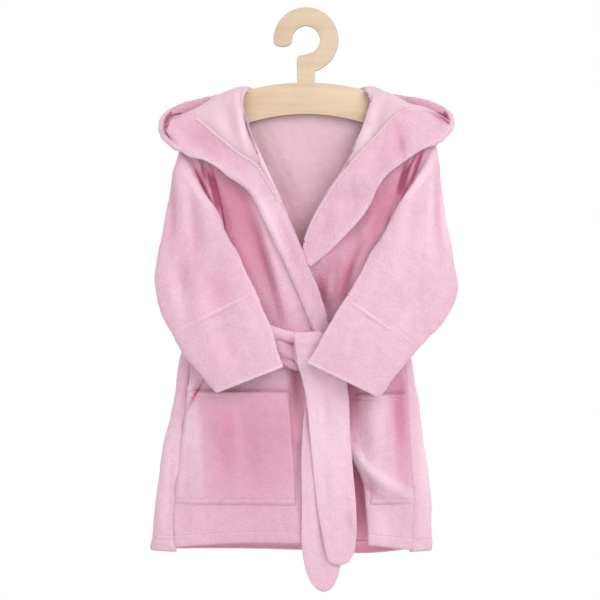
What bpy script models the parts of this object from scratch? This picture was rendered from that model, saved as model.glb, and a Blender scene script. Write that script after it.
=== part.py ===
"""Child's hooded towelling bathrobe, belted, hanging on a flat plywood hanger.

Metres, +Z up. The front of the robe faces -Y and its wearer's left side is at +X.
The origin is the inner top of the hanger's hook, where a rail carries it.
"""

import math
from collections import namedtuple

import bmesh
import bpy
import numpy as np

# Driving dimensions, in millimetres.
MM = 0.001
CLOTH = 2.0  # terry towelling, from loop to loop
SEAM = 0.3  # room between two pieces that are sewn or laid together
PLY = 5.0  # plywood of the hanger
HOOK_INNER_RADIUS = 16.8
HOOK_OUTER_RADIUS = 39.0
HOOK_LIP_ANGLE = 183.0  # degrees, where the hook's band ends
HOOK_LIP_LENGTH = 7.0  # its rounded end beyond that
HOOK_ROOT_ANGLE = -75.0
STEM_HALF_WIDTH = 10.8
STEM_CORNER = 5.0
STEM_STEP = 2.0  # from the hook's inside down to that corner
ARM_TOP = -68.0
ARM_HEIGHT = 38.0
ARM_RADIUS = 270.0  # of the arms' upper edge
ARM_END_X = 100.0  # centre of each arm's round end
BODY_ROUNDNESS = 2.6  # power of the body's oval sections
TOP_LEVEL = -75.0  # first level of the body panels, at the neck end of the shoulder seam
UNDERARM_LEVEL = -250.0
HEM_LEVEL = -622.0
PANEL_LEVELS = np.concatenate([
    [TOP_LEVEL, -76.5, -79, -84],  # close together where the shoulder rolls over
    np.linspace(-97, UNDERARM_LEVEL - 1, 6),
    np.linspace(UNDERARM_LEVEL - 11, HEM_LEVEL, 10),
])
FRONT_COLUMNS = 9
BACK_COLUMNS = 22
EDGE_SAMPLES = 160  # fine steps along a section, from which its columns are spaced evenly
SHOULDER_FADE = 135.0  # depth over which a level loses the shoulder's slope
SHOULDER_ROLL = 7.0  # depth over which the panels round over the arm
SHOULDER_GAP = 1.2  # half the room between the panels' walls at the shoulder seam
SIDE_SEAM_TURN = 0.03  # room at the side seam, as a turn about the body, in radians
SIDE_WRAP_LEVEL = UNDERARM_LEVEL - 4  # below it the back wraps round to the front
NECK_HALF_WIDTH = 76.0
NECK_DROP = 21.0
NECK_FADE = 90.0  # depth over which the back's levels lose the neckline's dip
NECK_GAP = 1.4  # between the back's top edge and the hood that is sewn to it
ROLL_START_X = NECK_HALF_WIDTH + 5  # from here outward the back's top rolls over the arm
NECK_FLAT = 8.0  # width over which that roll fades out towards the neck
SLEEVE_SIDES = 16
SLEEVE_OUT = 2.3  # armhole end of the sleeve, outside the panels' edges
SLEEVE_EXTRA_RINGS = 2  # rings of a sleeve beyond those of its table
ARMHOLE_POWER = 0.5  # roundness of the sleeve's section at the armhole
SLEEVE_EDGE_POWER = 0.85  # and of its folded edges
SLEEVE_BELLY_POWER = 0.6  # and between them
OVERLAP_LIFT = 6.0  # how far the upper front stands off the lower one
OVERLAP_SIDE_X = -75.0  # beyond this the upper front lies on nothing
OVERLAP_FADE_X = 50.0
OVERLAP_TOP_Z = -165.0
OVERLAP_FADE_Z = 60.0
HEM_START = -540.0  # level from which the hem's own line is blended in
HOOD_LIFT = 5.0  # hood over the front panels
LAPEL_LIFT = 2.5  # lapel over what it lies on
LAPEL_STEP_Z = -215.0
LAPEL_STEP = 30.0
FACING_LIFT = 3.0  # facing of the rear rim off the hood's far wall
POCKET_LIFT = 2.8
POCKET_BULGE = 9.0
POCKET_CLOSING = 60.0  # height over which the bulge runs out to the bottom seam
POCKET_BELLY_POWER = 0.7
POCKET_STEPS = 8
BELT_GAP = 1.0  # belt off the cloth under it
BELT_THICKNESS = 4.0
BELT_STEPS = 30  # sections of the waist run
BELT_LIFT_START = 0.3  # cosine of the angle where the waist run starts to climb the overlap
BELT_LIFT_SPAN = 0.4
KNOT_ROUNDING = 4.5
THIN_ROUNDING = 0.42  # and the most of it, as a share of a lump's depth

# Oval section of the body at each level: its two sides and its depth to the front and to the back.
BodyLevel = namedtuple("BodyLevel", "z left right front back")
BODY = [
    BodyLevel(-70, -192, 192, 5.0, 5.0),
    BodyLevel(-116, -188, 188, 9.0, 8.0),
    BodyLevel(-167, -166, 166, 15.0, 13.0),
    BodyLevel(-209, -141, 141, 18.5, 17.0),
    BodyLevel(-240, -112, 112, 19.0, 18.5),
    BodyLevel(-262, -104, 104, 18.5, 19.0),
    BodyLevel(-300, -116, 111, 16.0, 20.0),
    BodyLevel(-335, -129, 117, 13.0, 20.0),
    BodyLevel(-396, -150, 125, 13.0, 20.5),
    BodyLevel(-449, -157, 132, 15.5, 21.5),
    BodyLevel(-485, -166, 138, 17.0, 22.5),
    BodyLevel(-557, -178, 148, 18.5, 25.0),
    BodyLevel(-640, -188, 151, 20.0, 27.0),
]

# Height of the shoulder seam away from the middle.
ShoulderPoint = namedtuple("ShoulderPoint", "x z")
SHOULDER = [
    ShoulderPoint(0, -75),
    ShoulderPoint(64, -75),
    ShoulderPoint(76, -75),
    ShoulderPoint(88, -79),
    ShoulderPoint(100, -83.5),
    ShoulderPoint(112, -90),
    ShoulderPoint(124, -98.5),
    ShoulderPoint(134, -106),
    ShoulderPoint(146, -115),
]

# Edges of the two fronts, level by level: armhole, then side seam, and the free edge.
PanelEdge = namedtuple("PanelEdge", "z right_side right_free left_side left_free")
EDGES = [
    PanelEdge(-75, -142, -77, 146, 79),
    PanelEdge(-116, -135, -71, 139, 71),
    PanelEdge(-140, -129, -61, 133, 59),
    PanelEdge(-167, -123, -49, 126, 47),
    PanelEdge(-209, -111.5, -30, 112, 20),
    PanelEdge(-250, -98, -13, 98, 1),
    PanelEdge(-262, -99, -8, 99, -3),
    PanelEdge(-300, -110, 5, 106, -9),
    PanelEdge(-335, -120, 16, 111, -12),
    PanelEdge(-396, -137, 30, 117, -6),
    PanelEdge(-450, -143, 36, 121, 16),
    PanelEdge(-500, -149, 38, 124, 44),
    PanelEdge(-540, -153, 37, 127, 66),
    PanelEdge(-582, -158, 35, 128, 72),
    PanelEdge(-622, -157, 33, 126, 74),
]

# Height of the hem line across the robe, on the fronts and on the back.
Hem = namedtuple("Hem", "x front back")
HEM = [
    Hem(-190, -627, -628),
    Hem(-150, -623, -627),
    Hem(-77, -618, -627),
    Hem(30, -619, -631),
    Hem(77, -621, -633),
    Hem(108, -625, -634),
    Hem(151, -630, -630),
]

# Sleeves below the armhole: outer and inner edge of each flattened section, how far
# forward each edge lies, and half the section's depth.
SleeveRing = namedtuple("SleeveRing", "outer_x outer_z inner_x inner_z outer_y inner_y depth")
SLEEVE_RIGHT = [
    SleeveRing(-152, -150, -105, -252, -1, -5, 12),
    SleeveRing(-162, -190, -104, -257, -6, -21, 10),
    SleeveRing(-170, -233, -90, -270, -14, -28, 8.5),
    SleeveRing(-176, -272, -80, -289, -22, -30, 8.5),
    SleeveRing(-181, -312, -70, -310, -27, -31, 8.5),
    SleeveRing(-172, -345, -59, -331, -30, -33, 8.5),
    SleeveRing(-153, -381, -48, -354, -32, -35, 8),
    SleeveRing(-130, -411, -38, -381, -35, -37.5, 8),
    SleeveRing(-106, -439, -28, -408, -36, -38.5, 8),
]
SLEEVE_LEFT = [
    SleeveRing(157, -145, 105, -252, -1, -5, 12),
    SleeveRing(161, -185, 104, -257, -6, -21, 10),
    SleeveRing(167, -228, 92, -266, -14, -28, 8.5),
    SleeveRing(174, -270, 76, -281, -22, -30, 8.5),
    SleeveRing(182, -316, 62, -301, -27, -33, 8.5),
    SleeveRing(170, -350, 46, -326, -30, -39, 8),
    SleeveRing(146, -376, 32, -349, -35, -47, 7.5),
    SleeveRing(119, -404, 16, -378, -42, -52, 7),
    SleeveRing(88, -445, 2, -403, -46, -52, 7),
]

# Hood halves, from the centre seam outward. The cloth starts at the neck seam or at the
# front rim, passes over a crest, hangs down behind the back, turns at the bottom and
# rises to the rear rim.
HoodRib = namedtuple("HoodRib", "front_x front_z crest_x crest_z bottom_z rim_x rim_z")
HOOD_RIGHT = [
    HoodRib(0.8, -95, 0.8, -89, -284, 0.8, -88),
    HoodRib(24, -93, 24, -87, -281, 24, -87),
    HoodRib(46, -87.5, 46, -82, -271, 48, -84),
    HoodRib(60, -82, 60, -76, -260, 64, -78),
    HoodRib(67, -76, 67, -71.5, -252, 73, -74.5),
    HoodRib(73, -75, 73.5, -70.5, -246, 79, -74),
    HoodRib(75, -92, 77, -71.5, -241, 84, -75.5),
    HoodRib(72, -116, 80, -72, -236, 89, -76.5),
    HoodRib(63, -140, 84, -73, -230, 94, -78),
    HoodRib(56, -163, 90, -75, -222, 101, -80),
    HoodRib(73, -178, 99, -78.5, -211, 111, -82),
    HoodRib(92, -174, 110, -84, -196, 123, -85),
    HoodRib(115, -159, 122, -93, -177, 137, -89),
    HoodRib(136, -153, 137, -102, -157, 150, -93),
    HoodRib(152, -150, 152, -108, -140, 162, -98.5),
    HoodRib(164, -140, 164, -112, -128, 171, -107),
    HoodRib(173, -128, 172, -119, -124, 175, -115),
]
HOOD_LEFT = [
    HoodRib(0.8, -95, 0.8, -89, -284, 0.8, -88),
    HoodRib(24, -93, 24, -87, -281, 24, -87),
    HoodRib(46, -87.5, 46, -82, -271, 48, -84),
    HoodRib(60, -82, 60, -76, -260, 64, -78),
    HoodRib(67, -76, 67, -71.5, -252, 73, -74.5),
    HoodRib(73, -75, 73.5, -70.5, -246, 79, -74),
    HoodRib(77, -92, 79, -71.5, -241, 84, -75.5),
    HoodRib(71, -118, 82, -72.5, -236, 89, -77),
    HoodRib(60, -142, 86, -74, -230, 94, -78.5),
    HoodRib(50, -166, 91, -76.5, -222, 101, -80),
    HoodRib(68, -183, 99, -79, -211, 111, -82.5),
    HoodRib(92, -175, 110, -84.5, -196, 123, -85.5),
    HoodRib(115, -162, 124, -93, -177, 137, -88),
    HoodRib(136, -149, 140, -96, -157, 151, -91),
    HoodRib(155, -136, 156, -103, -138, 166, -98),
    HoodRib(168, -129, 168, -110, -126, 175, -107),
    HoodRib(176, -121, 175, -115, -120, 178, -114),
]
CREST_BEND = 10.0  # height over which the hood bends over the shoulder
CREST_BEND_SHARE = 0.6  # and the most that it takes of a short rib
NECK_SEAM_Y = 6.4  # the hood's neck seam, behind the hanger
NECK_SEAM_LEAN = 0.8  # how far the hood leans back from there to its crest
NECK_SEAM_END = 62.0  # ribs up to here start at the back's neckline
CREST_BACK_SHARE = 0.9  # how far back the crest lies on the way to the near wall
CREST_ARM_SHARE = 0.1  # the same where it crosses the arm
TURN_ARM_SHARE = 0.62  # the same just below the crest
TURN_DROP = 0.16  # that point's depth below the crest, as a share of the bend
ARM_PASS_X = 66.0  # from here outward the hood crosses over the arm to the front
ARM_PASS_WIDTH = 8.0
WALL_TOP_LEVEL = -95.0  # above it the hood's near wall hangs straight
HOOD_SLACK = 1.5
HOOD_WALL_GAP = 3.2  # hood's inner wall behind the back
FAR_WALL_LEVEL = -215.0  # above it the hood's far wall hangs straight
HOOD_FULLNESS = 14.0  # between the hood's two walls at the centre
HOOD_TIP_FULLNESS = 8.0
HOOD_TIP_X = 175.0
DOWN_PARTS = (0.05, 0.25, 0.55, 0.85)  # where the hood's near wall has its points
UP_PARTS = (0.12, 0.45, 0.8, 1)  # and its far wall

# Turned-back lapels, from the waist up to the hood's tip: the finished outer edge, and
# the roll line that becomes the serged edge inside the hood.
LapelRib = namedtuple("LapelRib", "outer_x outer_z inner_x inner_z")
LAPEL_RIGHT = [
    LapelRib(-4, -360, 21, -361),
    LapelRib(-13, -323, 10, -318),
    LapelRib(-26, -282, -6, -272),
    LapelRib(-44, -245, -19, -240),
    LapelRib(-65, -203, -34, -208),
    LapelRib(-79, -190, -49, -183),
    LapelRib(-92, -182, -59, -168),
    LapelRib(-105, -171, -76, -157),
    LapelRib(-121, -162, -97, -140),
    LapelRib(-138, -158, -120, -120),
    LapelRib(-153, -154, -139, -106),
    LapelRib(-166, -142, -157, -110),
    LapelRib(-174.5, -128, -170, -119),
]
LAPEL_LEFT = [
    LapelRib(5, -289, -6, -283),
    LapelRib(30, -268, -3, -262),
    LapelRib(58, -239, 7, -234),
    LapelRib(74, -218, 22, -208),
    LapelRib(86, -193, 37, -186),
    LapelRib(98, -178, 50, -170),
    LapelRib(114, -166, 66, -151),
    LapelRib(132, -153, 83, -133),
    LapelRib(145, -144, 98, -118),
    LapelRib(157, -138, 114, -105),
    LapelRib(169, -130, 138, -98.5),
    LapelRib(177.5, -121, 166, -108),
]

# Patch pockets: side edge and inner edge from the mouth down to the bottom seam.
PocketRow = namedtuple("PocketRow", "z side inner")
POCKET_RIGHT = [
    PocketRow(-438, -134, -19),
    PocketRow(-450, -140, -18),
    PocketRow(-480, -145, -16),
    PocketRow(-510, -148, -14),
    PocketRow(-545, -152, -12),
    PocketRow(-573, -155, -11),
]
POCKET_LEFT = [
    PocketRow(-441, 118, 50),
    PocketRow(-465, 120, 52),
    PocketRow(-495, 122, 57),
    PocketRow(-520, 124, 67),
    PocketRow(-545, 125, 76),
    PocketRow(-568, 126, 79),
]

# Belt round the waist: angle from the front centre towards the wearer's left, height of
# its middle and its width, which is gathered where it enters the knot.
BeltTurn = namedtuple("BeltTurn", "angle z width")
BELT_WAIST = [
    BeltTurn(17, -382, 20),
    BeltTurn(28, -368, 26),
    BeltTurn(50, -348, 36),
    BeltTurn(90, -336, 42),
    BeltTurn(140, -331, 44),
    BeltTurn(180, -330, 44),
    BeltTurn(220, -331, 44),
    BeltTurn(270, -336, 42),
    BeltTurn(310, -346, 36),
    BeltTurn(337, -359, 27),
    BeltTurn(357, -376, 20),
]
BeltRow = namedtuple("BeltRow", "z left right y")
BELT_FRONT_END = [
    BeltRow(-366.5, -14, 17, -37.5),
    BeltRow(-372, -14, 21, -39),
    BeltRow(-390, -12, 30, -39.3),
    BeltRow(-405, -10, 40, -39.3),
    BeltRow(-418, -6, 46, -38),
    BeltRow(-440, -1, 50, -33.5),
    BeltRow(-484, 4, 52, -32),
    BeltRow(-536, 9, 56, -33),
    BeltRow(-571, 13, 60, -34),
    BeltRow(-624, 23, 60, -34.5),
    BeltRow(-638, 26, 57, -35),
    BeltRow(-646, 30, 47, -35),
]
BELT_REAR_END = [
    BeltRow(-412.4, 4, 38, -26.5),
    BeltRow(-450, -1, 43, -25.5),
    BeltRow(-497, -5, 43, -27.2),
    BeltRow(-571, -5, 41, -29.2),
    BeltRow(-642, -4, 41, -29.8),
    BeltRow(-660, 2, 39, -30),
    BeltRow(-672, 10, 34, -30),
    BeltRow(-678, 18, 28, -30),
]
# Lumps of the knot: middle and full size of each.
KnotLump = namedtuple("KnotLump", "x y z width depth height")
KNOT = [
    KnotLump(10, -28.8, -389, 44, 15, 46),
    KnotLump(-18, -25.9, -399, 32, 8.6, 24),
]

PINK = (0.86, 0.55, 0.66, 1.0)
PALE_PINK = (0.90, 0.68, 0.76, 1.0)
BIRCH = (0.72, 0.55, 0.38, 1.0)


def column(table, name):
    """One column of a table, as an array."""
    return np.array([float(getattr(row, name)) for row in table])


def smooth(keys, values, key):
    """A smooth curve through the values, read at each key."""
    if keys[0] > keys[-1]:
        keys, values = keys[::-1], values[::-1]
    slopes = np.gradient(values, keys)
    key = np.clip(key, keys[0], keys[-1])
    low = np.clip(np.searchsorted(keys, key, side="right") - 1, 0, len(keys) - 2)
    step = keys[low + 1] - keys[low]
    t = (key - keys[low]) / step
    return (
        values[low] * (1 + 2 * t) * (1 - t) ** 2
        + slopes[low] * step * t * (1 - t) ** 2
        + values[low + 1] * t**2 * (3 - 2 * t)
        + slopes[low + 1] * step * t**2 * (t - 1)
    )


def at(table, name, key):
    """A column's smooth value at each key, the table's first column."""
    return smooth(column(table, table[0]._fields[0]), column(table, name), key)


def along(table, name, steps):
    """A column's smooth values at evenly spaced steps from the first row to the last."""
    rows = np.arange(len(table), dtype=float)
    return smooth(rows, column(table, name), np.linspace(0, rows[-1], steps))


def ease(value):
    """0 to 1 with soft ends."""
    value = np.clip(value, 0, 1)
    return value * value * (3 - 2 * value)


def oval(x, z):
    """How deep the body's oval is at x, from 1 at its middle to 0 at its sides."""
    left = at(BODY, "left", z)
    right = at(BODY, "right", z)
    reach = np.clip(np.abs((2 * x - left - right) / (right - left)), 0, 1)
    return (1 - reach**BODY_ROUNDNESS) ** (1 / BODY_ROUNDNESS)


def front_y(x, z):
    return -at(BODY, "front", z) * oval(x, z)


def back_y(x, z):
    return at(BODY, "back", z) * oval(x, z)


def overlap_lift(x, z):
    """How far the wearer's right front stands proud of the left front."""
    across = ease((x - OVERLAP_SIDE_X) / OVERLAP_FADE_X)
    return OVERLAP_LIFT * across * ease((OVERLAP_TOP_Z - z) / OVERLAP_FADE_Z)


def shoulder_drop(x, level):
    """Slope that the shoulder seam gives to the levels just under it."""
    fade = np.clip(1 - (TOP_LEVEL - level) / SHOULDER_FADE, 0, 1) ** 1.5
    return (at(SHOULDER, "z", np.abs(x)) - TOP_LEVEL) * fade


def neck_drop(x):
    """How far the back's neckline dips below the shoulder seam's end."""
    return NECK_DROP * np.clip(1 - (x / NECK_HALF_WIDTH) ** 2, 0, 1)


def shoulder_roll(level):
    """Rounds the panels over the hanger's arm, to meet at the seam."""
    part = np.clip((TOP_LEVEL - level) / SHOULDER_ROLL, 0, 1)
    return np.sqrt(1 - (1 - part) ** 2)


def evenly(x, y, count, other=None):
    """Values of x, and of another quantity, at points evenly spaced along a line."""
    length = np.concatenate([[0], np.cumsum(np.hypot(np.diff(x), np.diff(y)))])
    stops = np.linspace(0, length[-1], count)
    return np.interp(stops, length, x), np.interp(stops, length, x if other is None else other)


def new_object(name, mesh, material):
    made = bpy.data.objects.new(name, mesh)
    made.data.materials.append(material)
    robe.objects.link(made)
    return made


def cloth(name, grid, material, closed=False, thickness=CLOTH):
    """A sewn panel: the surface through a grid of points, given the cloth's wall."""
    grid = np.asarray(grid, float) * MM
    rows, columns = grid.shape[:2]
    made = bmesh.new()
    points = [[made.verts.new(point) for point in row] for row in grid]
    for i in range(rows - 1):
        for j in range(columns if closed else columns - 1):
            k = (j + 1) % columns
            made.faces.new((points[i][j], points[i][k], points[i + 1][k], points[i + 1][j]))
    mesh = bpy.data.meshes.new(name)
    made.to_mesh(mesh)
    made.free()
    mesh.shade_smooth()
    panel = new_object(name, mesh, material)
    wall = panel.modifiers.new("wall", "SOLIDIFY")
    wall.thickness = thickness * MM
    wall.offset = 0
    wall.use_even_offset = True
    return panel


def loft(name, rings, material):
    """A closed solid through rings of points, capped at both ends."""
    made = bmesh.new()
    rows = [[made.verts.new(np.asarray(point) * MM) for point in ring] for ring in rings]
    for low, high in zip(rows, rows[1:]):
        for j in range(len(low)):
            k = (j + 1) % len(low)
            made.faces.new((low[j], low[k], high[k], high[j]))
    made.faces.new(rows[0][::-1])
    made.faces.new(rows[-1])
    bmesh.ops.recalc_face_normals(made, faces=made.faces)
    mesh = bpy.data.meshes.new(name)
    made.to_mesh(mesh)
    made.free()
    mesh.shade_smooth()
    return new_object(name, mesh, material)


def arc(centre_z, radius, start, end, steps):
    """Points of an arc about the hanger's middle line, angles in degrees."""
    angles = np.radians(np.linspace(start, end, steps))
    return [(radius * math.cos(a), centre_z + radius * math.sin(a)) for a in angles]


def hanger_outline():
    """Hook, stem and arms in one closed line, anticlockwise from the stem's right foot."""
    arm_centre = ARM_TOP - ARM_RADIUS
    end_radius = ARM_HEIGHT / 2
    middle_radius = ARM_RADIUS - end_radius
    reach = math.degrees(math.asin(ARM_END_X / middle_radius))
    foot = math.degrees(math.asin(STEM_HALF_WIDTH / ARM_RADIUS))
    hook_centre = -HOOK_INNER_RADIUS
    band = HOOK_OUTER_RADIUS - HOOK_INNER_RADIUS
    lip = math.radians(HOOK_LIP_ANGLE)
    outer_start = -math.degrees(math.acos(STEM_HALF_WIDTH / HOOK_OUTER_RADIUS))
    points = arc(hook_centre, HOOK_OUTER_RADIUS, outer_start, HOOK_LIP_ANGLE, 32)
    for turn in np.radians(np.linspace(20, 160, 6)):
        radius = HOOK_INNER_RADIUS + band / 2 * (1 + math.cos(turn))
        past_end = HOOK_LIP_LENGTH * math.sin(turn)
        points.append((radius * math.cos(lip) - past_end * math.sin(lip),
                       hook_centre + radius * math.sin(lip) + past_end * math.cos(lip)))
    points += arc(hook_centre, HOOK_INNER_RADIUS, HOOK_LIP_ANGLE, HOOK_ROOT_ANGLE, 22)
    corner_z = hook_centre - HOOK_INNER_RADIUS - STEM_CORNER - STEM_STEP
    for turn in np.radians(np.linspace(90, 180, 5)):
        points.append((STEM_CORNER - STEM_HALF_WIDTH + STEM_CORNER * math.cos(turn),
                       corner_z + STEM_CORNER * math.sin(turn)))
    points += arc(arm_centre, ARM_RADIUS, 90 + foot, 90 + reach, 12)
    for side in (1, -1):
        end_angle = math.radians(90 + side * reach)
        end_x = middle_radius * math.cos(end_angle)
        end_z = arm_centre + middle_radius * math.sin(end_angle)
        for turn in np.linspace(0, 180, 10)[1:-1]:
            angle = end_angle + math.radians(turn if side > 0 else turn - 180)
            points.append((end_x + end_radius * math.cos(angle),
                           end_z + end_radius * math.sin(angle)))
        if side > 0:
            points += arc(arm_centre, ARM_RADIUS - ARM_HEIGHT, 90 + reach, 90 - reach, 22)
    points += arc(arm_centre, ARM_RADIUS, 90 - reach, 90 - foot, 12)
    return points


def build_hanger():
    """One flat outline cut from plywood."""
    curve = bpy.data.curves.new("hanger_outline", "CURVE")
    curve.dimensions = "2D"
    curve.fill_mode = "BOTH"
    curve.extrude = PLY / 2 * MM
    line = curve.splines.new("POLY")
    points = hanger_outline()
    line.points.add(len(points) - 1)
    for point, (x, z) in zip(line.points, points):
        point.co = (x * MM, z * MM, 0, 1)
    line.use_cyclic_u = True
    outline = bpy.data.objects.new("hanger_outline", curve)
    robe.objects.link(outline)
    outline.rotation_euler.x = math.pi / 2
    bpy.context.view_layer.update()
    evaluated = outline.evaluated_get(bpy.context.evaluated_depsgraph_get())
    mesh = bpy.data.meshes.new_from_object(evaluated)
    mesh.name = "hanger"
    welded = bmesh.new()
    welded.from_mesh(mesh)
    bmesh.ops.remove_doubles(welded, verts=welded.verts, dist=1e-6)
    welded.to_mesh(mesh)
    welded.free()
    mesh.materials.clear()
    hanger = new_object("hanger", mesh, birch)
    hanger.matrix_world = outline.matrix_world.copy()
    bpy.data.objects.remove(outline)


def hem_drop(x, level, side):
    """Moves the lowest levels to the hem's own line."""
    share = ease((level - HEM_START) / (HEM_LEVEL - HEM_START))
    return (at(HEM, side, x) - HEM_LEVEL) * share


def front_grid(side_column, free_column, lift):
    """A front panel between its side and its free edge, from shoulder to hem."""
    grid = []
    for level in PANEL_LEVELS:
        x = np.linspace(at(EDGES, side_column, level), at(EDGES, free_column, level), EDGE_SAMPLES)
        x = evenly(x, front_y(x, level), FRONT_COLUMNS)[0]
        z = level + shoulder_drop(x, level) + hem_drop(x, level, "front")
        y = -SHOULDER_GAP + (front_y(x, z) - lift(x, z) + SHOULDER_GAP) * shoulder_roll(level)
        grid.append(np.stack([x, y, z], -1))
    return np.array(grid)


def no_lift(x, z):
    return 0 * x


def build_fronts():
    """Each front reaches from its side seam to the edge that folds over as the lapel."""
    cloth("front_right", front_grid("right_side", "right_free", overlap_lift), terry)
    cloth("front_left", front_grid("left_side", "left_free", no_lift), terry)


def back_grid():
    """The back, which wraps round both sides to the seams on the front."""
    grid = []
    power = 2 / BODY_ROUNDNESS
    for level in PANEL_LEVELS:
        left = at(BODY, "left", level)
        right = at(BODY, "right", level)
        middle, half = (left + right) / 2, (right - left) / 2
        ends = []
        for side, name in ((-1, "right_side"), (1, "left_side")):
            wrap = float(level < SIDE_WRAP_LEVEL)
            edge = at(EDGES, name, level) + side * SEAM * (1 + wrap)
            reach = np.clip((edge - middle) / half * side, 0, 1) ** (1 / power)
            on_back = np.pi - math.asin(reach)
            on_front = math.asin(reach) + SIDE_SEAM_TURN
            ends.append(side * (on_back + (on_front - on_back) * wrap))
        angle = np.linspace(ends[0] + 2 * np.pi, ends[1], EDGE_SAMPLES)
        s, c = np.sin(angle), np.cos(angle)
        x = middle + half * np.sign(s) * np.abs(s) ** power
        y = -np.sign(c) * np.abs(c) ** power * at(BODY, "back", level)
        x, angle = evenly(x, y, BACK_COLUMNS, angle)
        s, c = np.sin(angle), np.cos(angle)
        z = level + shoulder_drop(x, level)
        z = z - neck_drop(x) * np.clip(1 - (TOP_LEVEL - level) / NECK_FADE, 0, 1)
        z = z + hem_drop(x, level, "back")
        depth = np.where(c > 0, at(BODY, "front", z), at(BODY, "back", z))
        roll = shoulder_roll(level)
        roll = roll + (1 - roll) * ease((ROLL_START_X - np.abs(x)) / NECK_FLAT)
        y = SHOULDER_GAP + (-np.sign(c) * np.abs(c) ** power * depth - SHOULDER_GAP) * roll
        grid.append(np.stack([x, y, z], -1))
    return np.array(grid)


def sleeve_grid(table, side):
    """A sleeve from its armhole round the elbow to the open cuff."""
    turn = np.linspace(0, 2 * np.pi, SLEEVE_SIDES, endpoint=False)
    name = "right_side" if side < 0 else "left_side"
    level = TOP_LEVEL + (UNDERARM_LEVEL - TOP_LEVEL) * (1 - np.cos(turn)) / 2
    x = at(EDGES, name, level)
    z = level + shoulder_drop(x, level)
    flat = np.abs(np.sin(turn)) ** ARMHOLE_POWER
    y = np.where(np.sin(turn) > 0, front_y(x, z), back_y(x, z)) * flat
    above = np.maximum(np.cos(turn), 0) * SLEEVE_OUT
    armhole = np.stack([x + side * SLEEVE_OUT, y, z + above], -1)
    grid = [armhole]
    steps = len(table) + SLEEVE_EXTRA_RINGS
    ring = {name: along(table, name, steps) for name in SleeveRing._fields}
    for i in range(steps):
        lean = np.sign(np.cos(turn)) * np.abs(np.cos(turn)) ** SLEEVE_EDGE_POWER
        share = (1 - lean) / 2
        x = ring["outer_x"][i] + (ring["inner_x"][i] - ring["outer_x"][i]) * share
        z = ring["outer_z"][i] + (ring["inner_z"][i] - ring["outer_z"][i]) * share
        y = ring["outer_y"][i] + (ring["inner_y"][i] - ring["outer_y"][i]) * share
        belly = np.sign(np.sin(turn)) * np.abs(np.sin(turn)) ** SLEEVE_BELLY_POWER
        grid.append(np.stack([x, y - ring["depth"][i] * belly, z], -1))
    return np.array(grid)


def hood_grid(table, side):
    """Half the hood, rib by rib from the centre seam to the tip."""
    grid = []
    for rib in table:
        if rib.crest_x < NECK_SEAM_END:
            neck = TOP_LEVEL - float(neck_drop(rib.front_x)) + NECK_GAP
            rib = rib._replace(front_z=neck)
        fullness = HOOD_FULLNESS + (HOOD_TIP_FULLNESS - HOOD_FULLNESS) * rib.crest_x / HOOD_TIP_X
        over_arm = ease((rib.crest_x - ARM_PASS_X) / ARM_PASS_WIDTH)
        line = []
        span = rib.crest_z - rib.front_z
        bend = min(CREST_BEND, span * CREST_BEND_SHARE)
        heights = [rib.front_z + (span - bend) * part for part in (0, 0.5, 1)]
        heights += [rib.crest_z - bend * 0.5, rib.crest_z - bend * 0.17]
        for z in heights:
            part = (z - rib.front_z) / span
            x = side * (rib.front_x + (rib.crest_x - rib.front_x) * part)
            roll = math.sqrt(1 - (1 - min(1, (rib.crest_z - z) / CREST_BEND)) ** 2)
            before = (front_y(x, z) - HOOD_LIFT) * roll
            behind = NECK_SEAM_Y + NECK_SEAM_LEAN * part
            line.append((x, float(behind + (before - behind) * over_arm), z))
        x = side * rib.crest_x
        wall = float(back_y(x, rib.crest_z - 2 * CREST_BEND)) + HOOD_WALL_GAP
        crest_share = CREST_BACK_SHARE + (CREST_ARM_SHARE - CREST_BACK_SHARE) * over_arm
        turn_share = 1 + (TURN_ARM_SHARE - 1) * over_arm
        line.append((x, wall * crest_share, rib.crest_z))
        line.append((x, wall * turn_share, rib.crest_z - bend * TURN_DROP))
        middle_x = (rib.crest_x + rib.rim_x) / 2
        near = HOOD_WALL_GAP + HOOD_SLACK
        for part in DOWN_PARTS:
            z = rib.crest_z + (rib.bottom_z - rib.crest_z) * part
            x = side * (rib.crest_x + (middle_x - rib.crest_x) * part)
            line.append((x, float(back_y(x, min(z, WALL_TOP_LEVEL))) + near, z))
        x = side * middle_x
        y = float(back_y(x, min(rib.bottom_z, WALL_TOP_LEVEL))) + near + fullness / 2
        line.append((x, y, rib.bottom_z))
        for part in UP_PARTS:
            z = rib.bottom_z + (rib.rim_z - rib.bottom_z) * part
            x = side * (middle_x + (rib.rim_x - middle_x) * part)
            y = max(back_y(x, min(z, WALL_TOP_LEVEL)), back_y(x, min(z, FAR_WALL_LEVEL)))
            line.append((x, float(y) + near + fullness, z))
        grid.append(line)
    return np.array(grid)


def hood_facing_grid(table, side):
    """The strip that finishes the hood's rear rim on its inside."""
    hood = hood_grid(table, side)
    grid = [hood[:-1, -1], hood[:-1, -2], (hood[:-1, -2] + hood[:-1, -3]) / 2]
    grid = np.array(grid)
    grid[:, :, 1] -= FACING_LIFT
    return grid


def lapel_grid(table, lift):
    """The turned-back facing, over the front and then over the hood."""
    grid = []
    steps = 2 * len(table) - 1
    edge = {name: along(table, name, steps) for name in LapelRib._fields}
    for i in range(steps):
        share = np.linspace(0, 1, 4)
        x = edge["outer_x"][i] + (edge["inner_x"][i] - edge["outer_x"][i]) * share
        z = edge["outer_z"][i] + (edge["inner_z"][i] - edge["outer_z"][i]) * share
        rise = np.sin(np.pi * share)
        y = front_y(x, z) - lift(x, z) - LAPEL_LIFT - rise
        grid.append(np.stack([x, y, z], -1))
    return np.array(grid)


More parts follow.
